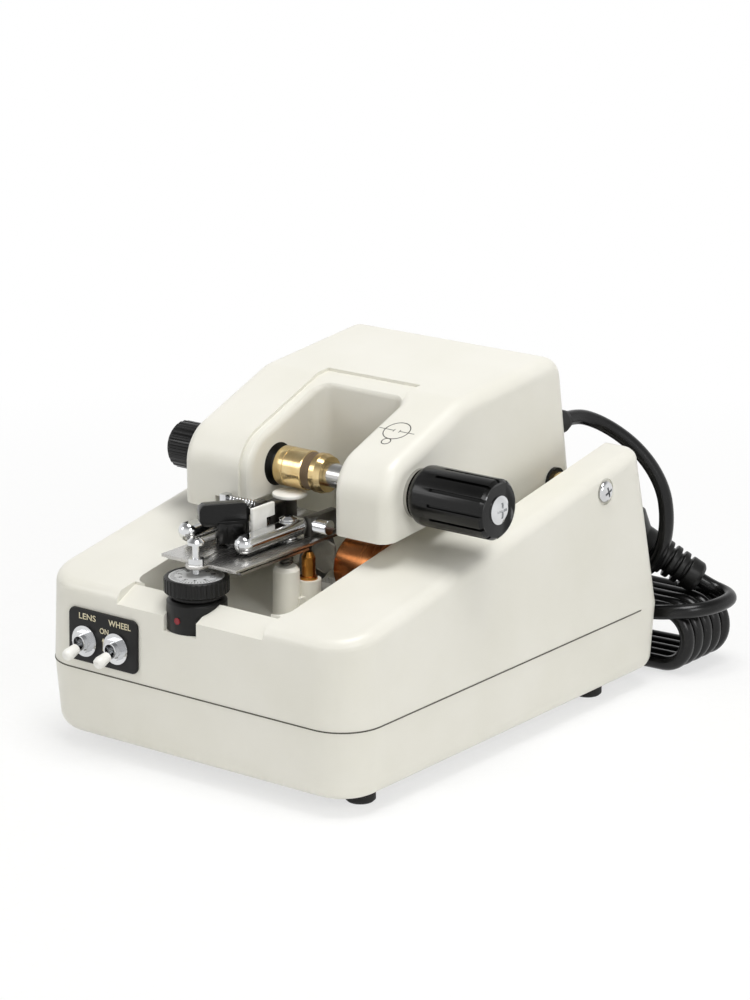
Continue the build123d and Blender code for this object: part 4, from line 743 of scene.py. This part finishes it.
# White studio floor: it shows white to the camera and keeps a soft share of the shadow round the machine
def studioFloor():
    deselectAll()
    bpy.ops.mesh.primitive_plane_add(size=stage["floorSize"], location=(0, 0, -stage["below"]))
    floor = bpy.context.object
    floor.name = "studioFloor"
    material, tree, position = newMaterial("paperSweep")
    rays = addNode(tree, "LightPath")
    seen = addNode(tree, "Math", {
        0: rays.outputs["Is Camera Ray"], 1: rays.outputs["Is Glossy Ray"]}, operation="MAXIMUM")
    seen = addNode(tree, "Math", {
        0: seen.outputs[0], 1: rays.outputs["Is Transmission Ray"]}, operation="MAXIMUM")
    away = addNode(tree, "VectorMath", {0: position}, operation="LENGTH")
    white = addNode(tree, "MapRange", {
        "Value": away.outputs["Value"], "From Min": stage["shadowFrom"], "From Max": stage["shadowReach"],
        "To Min": 1 - stage["shadowShare"], "To Max": 1.0})
    share = addNode(tree, "Math", {0: seen.outputs[0], 1: white.outputs["Result"]}, operation="MULTIPLY")
    fibre = addNode(tree, "TexNoise", {
        "Vector": position, "Scale": 1 / (stage["fibre"] * mm), "Detail": 3.0})
    paper = addNode(tree, "BsdfDiffuse", {
        "Color": tintRamp(tree, fibre.outputs["Fac"], "#F4F4F2", "#F8F8F7")})
    glow = addNode(tree, "Emission", {"Color": linear("#FFFFFF"), "Strength": 1.0})
    finishMaterial(tree, addNode(tree, "MixShader", {
        "Fac": share.outputs[0], 1: paper.outputs[0], 2: glow.outputs[0]}))
    floor.data.materials.append(material)


studio = {
    "roomLight": 0.36,
    "ceiling": 0.3,  # what polished metal sees overhead, between the lamps
    "wallTop": (0.35, 0.8),  # between these heights the white that metal sees falls to the ceiling's
    "aim": (0, 0, 0.06),
    "lamps": {
        "topLamp": {"at": (0.25, -0.1, 1.6), "size": 0.8, "power": 17.0},
        "sideLamp": {"at": (1.5, -0.7, 1.0), "size": 0.7, "power": 8.0},
        "frontLamp": {"at": (-1.2, -1.2, 0.9), "size": 0.6, "power": 3.5},
    },
}


def studioLight():
    world = bpy.data.worlds.new("studioWorld")
    bpy.context.scene.world = world
    world.use_nodes = True
    tree = world.node_tree
    tree.nodes.clear()
    rays = addNode(tree, "LightPath")
    seen = addNode(tree, "Math", {
        0: rays.outputs["Is Camera Ray"], 1: rays.outputs["Is Transmission Ray"]}, operation="MAXIMUM")
    way = addNode(tree, "SeparateXYZ", {"Vector": addNode(tree, "TexCoord").outputs["Generated"]})
    height = addNode(tree, "MapRange", {
        "Value": way.outputs["Z"], "From Min": studio["wallTop"][0], "From Max": studio["wallTop"][1],
        "To Min": 1.0, "To Max": studio["ceiling"]})
    room = addNode(tree, "Background", {"Color": linear("#F4F3F0"), "Strength": studio["roomLight"]})
    shine = addNode(tree, "Background", {
        "Color": linear("#FFFFFF"), "Strength": height.outputs["Result"]})
    white = addNode(tree, "Background", {"Color": linear("#FFFFFF"), "Strength": 1.0})
    mixed = addNode(tree, "MixShader", {
        "Fac": rays.outputs["Is Glossy Ray"], 1: room.outputs[0], 2: shine.outputs[0]})
    mixed = addNode(tree, "MixShader", {"Fac": seen.outputs[0], 1: mixed.outputs[0], 2: white.outputs[0]})
    addNode(tree, "OutputWorld", {"Surface": mixed.outputs[0]})
    for name, lamp in studio["lamps"].items():
        data = bpy.data.lights.new(name, "AREA")
        data.size, data.energy = lamp["size"], lamp["power"]
        lampObject = bpy.data.objects.new(name, data)
        bpy.context.collection.objects.link(lampObject)
        lampObject.location = lamp["at"]
        towards = Vector(studio["aim"]) - Vector(lamp["at"])
        lampObject.rotation_euler = towards.to_track_quat("-Z", "Y").to_euler()


camera = {
    "at": (0.8710, -1.11135, 0.5087), "target": (-0.05959, 0.09435, 0.060), "roll": -0.23,
    "lens": 131.47, "sensor": 36.0, "shift": (-0.0092, 0.0009),
}


def photoCamera():
    data = bpy.data.cameras.new("photoCamera")
    data.sensor_fit, data.sensor_height, data.lens = "VERTICAL", camera["sensor"], camera["lens"]
    data.shift_x, data.shift_y = camera["shift"]
    cameraObject = bpy.data.objects.new("photoCamera", data)
    bpy.context.collection.objects.link(cameraObject)
    at = Vector(camera["at"])
    turn = (Vector(camera["target"]) - at).to_track_quat("-Z", "Y").to_matrix().to_4x4()
    roll = Matrix.Rotation(math.radians(camera["roll"]), 4, "Z")
    cameraObject.matrix_world = Matrix.Translation(at) @ turn @ roll
    bpy.context.scene.camera = cameraObject


studioFloor()
studioLight()
photoCamera()
bpy.context.scene.view_settings.view_transform = "Standard"
print("stage, lamps and camera set")
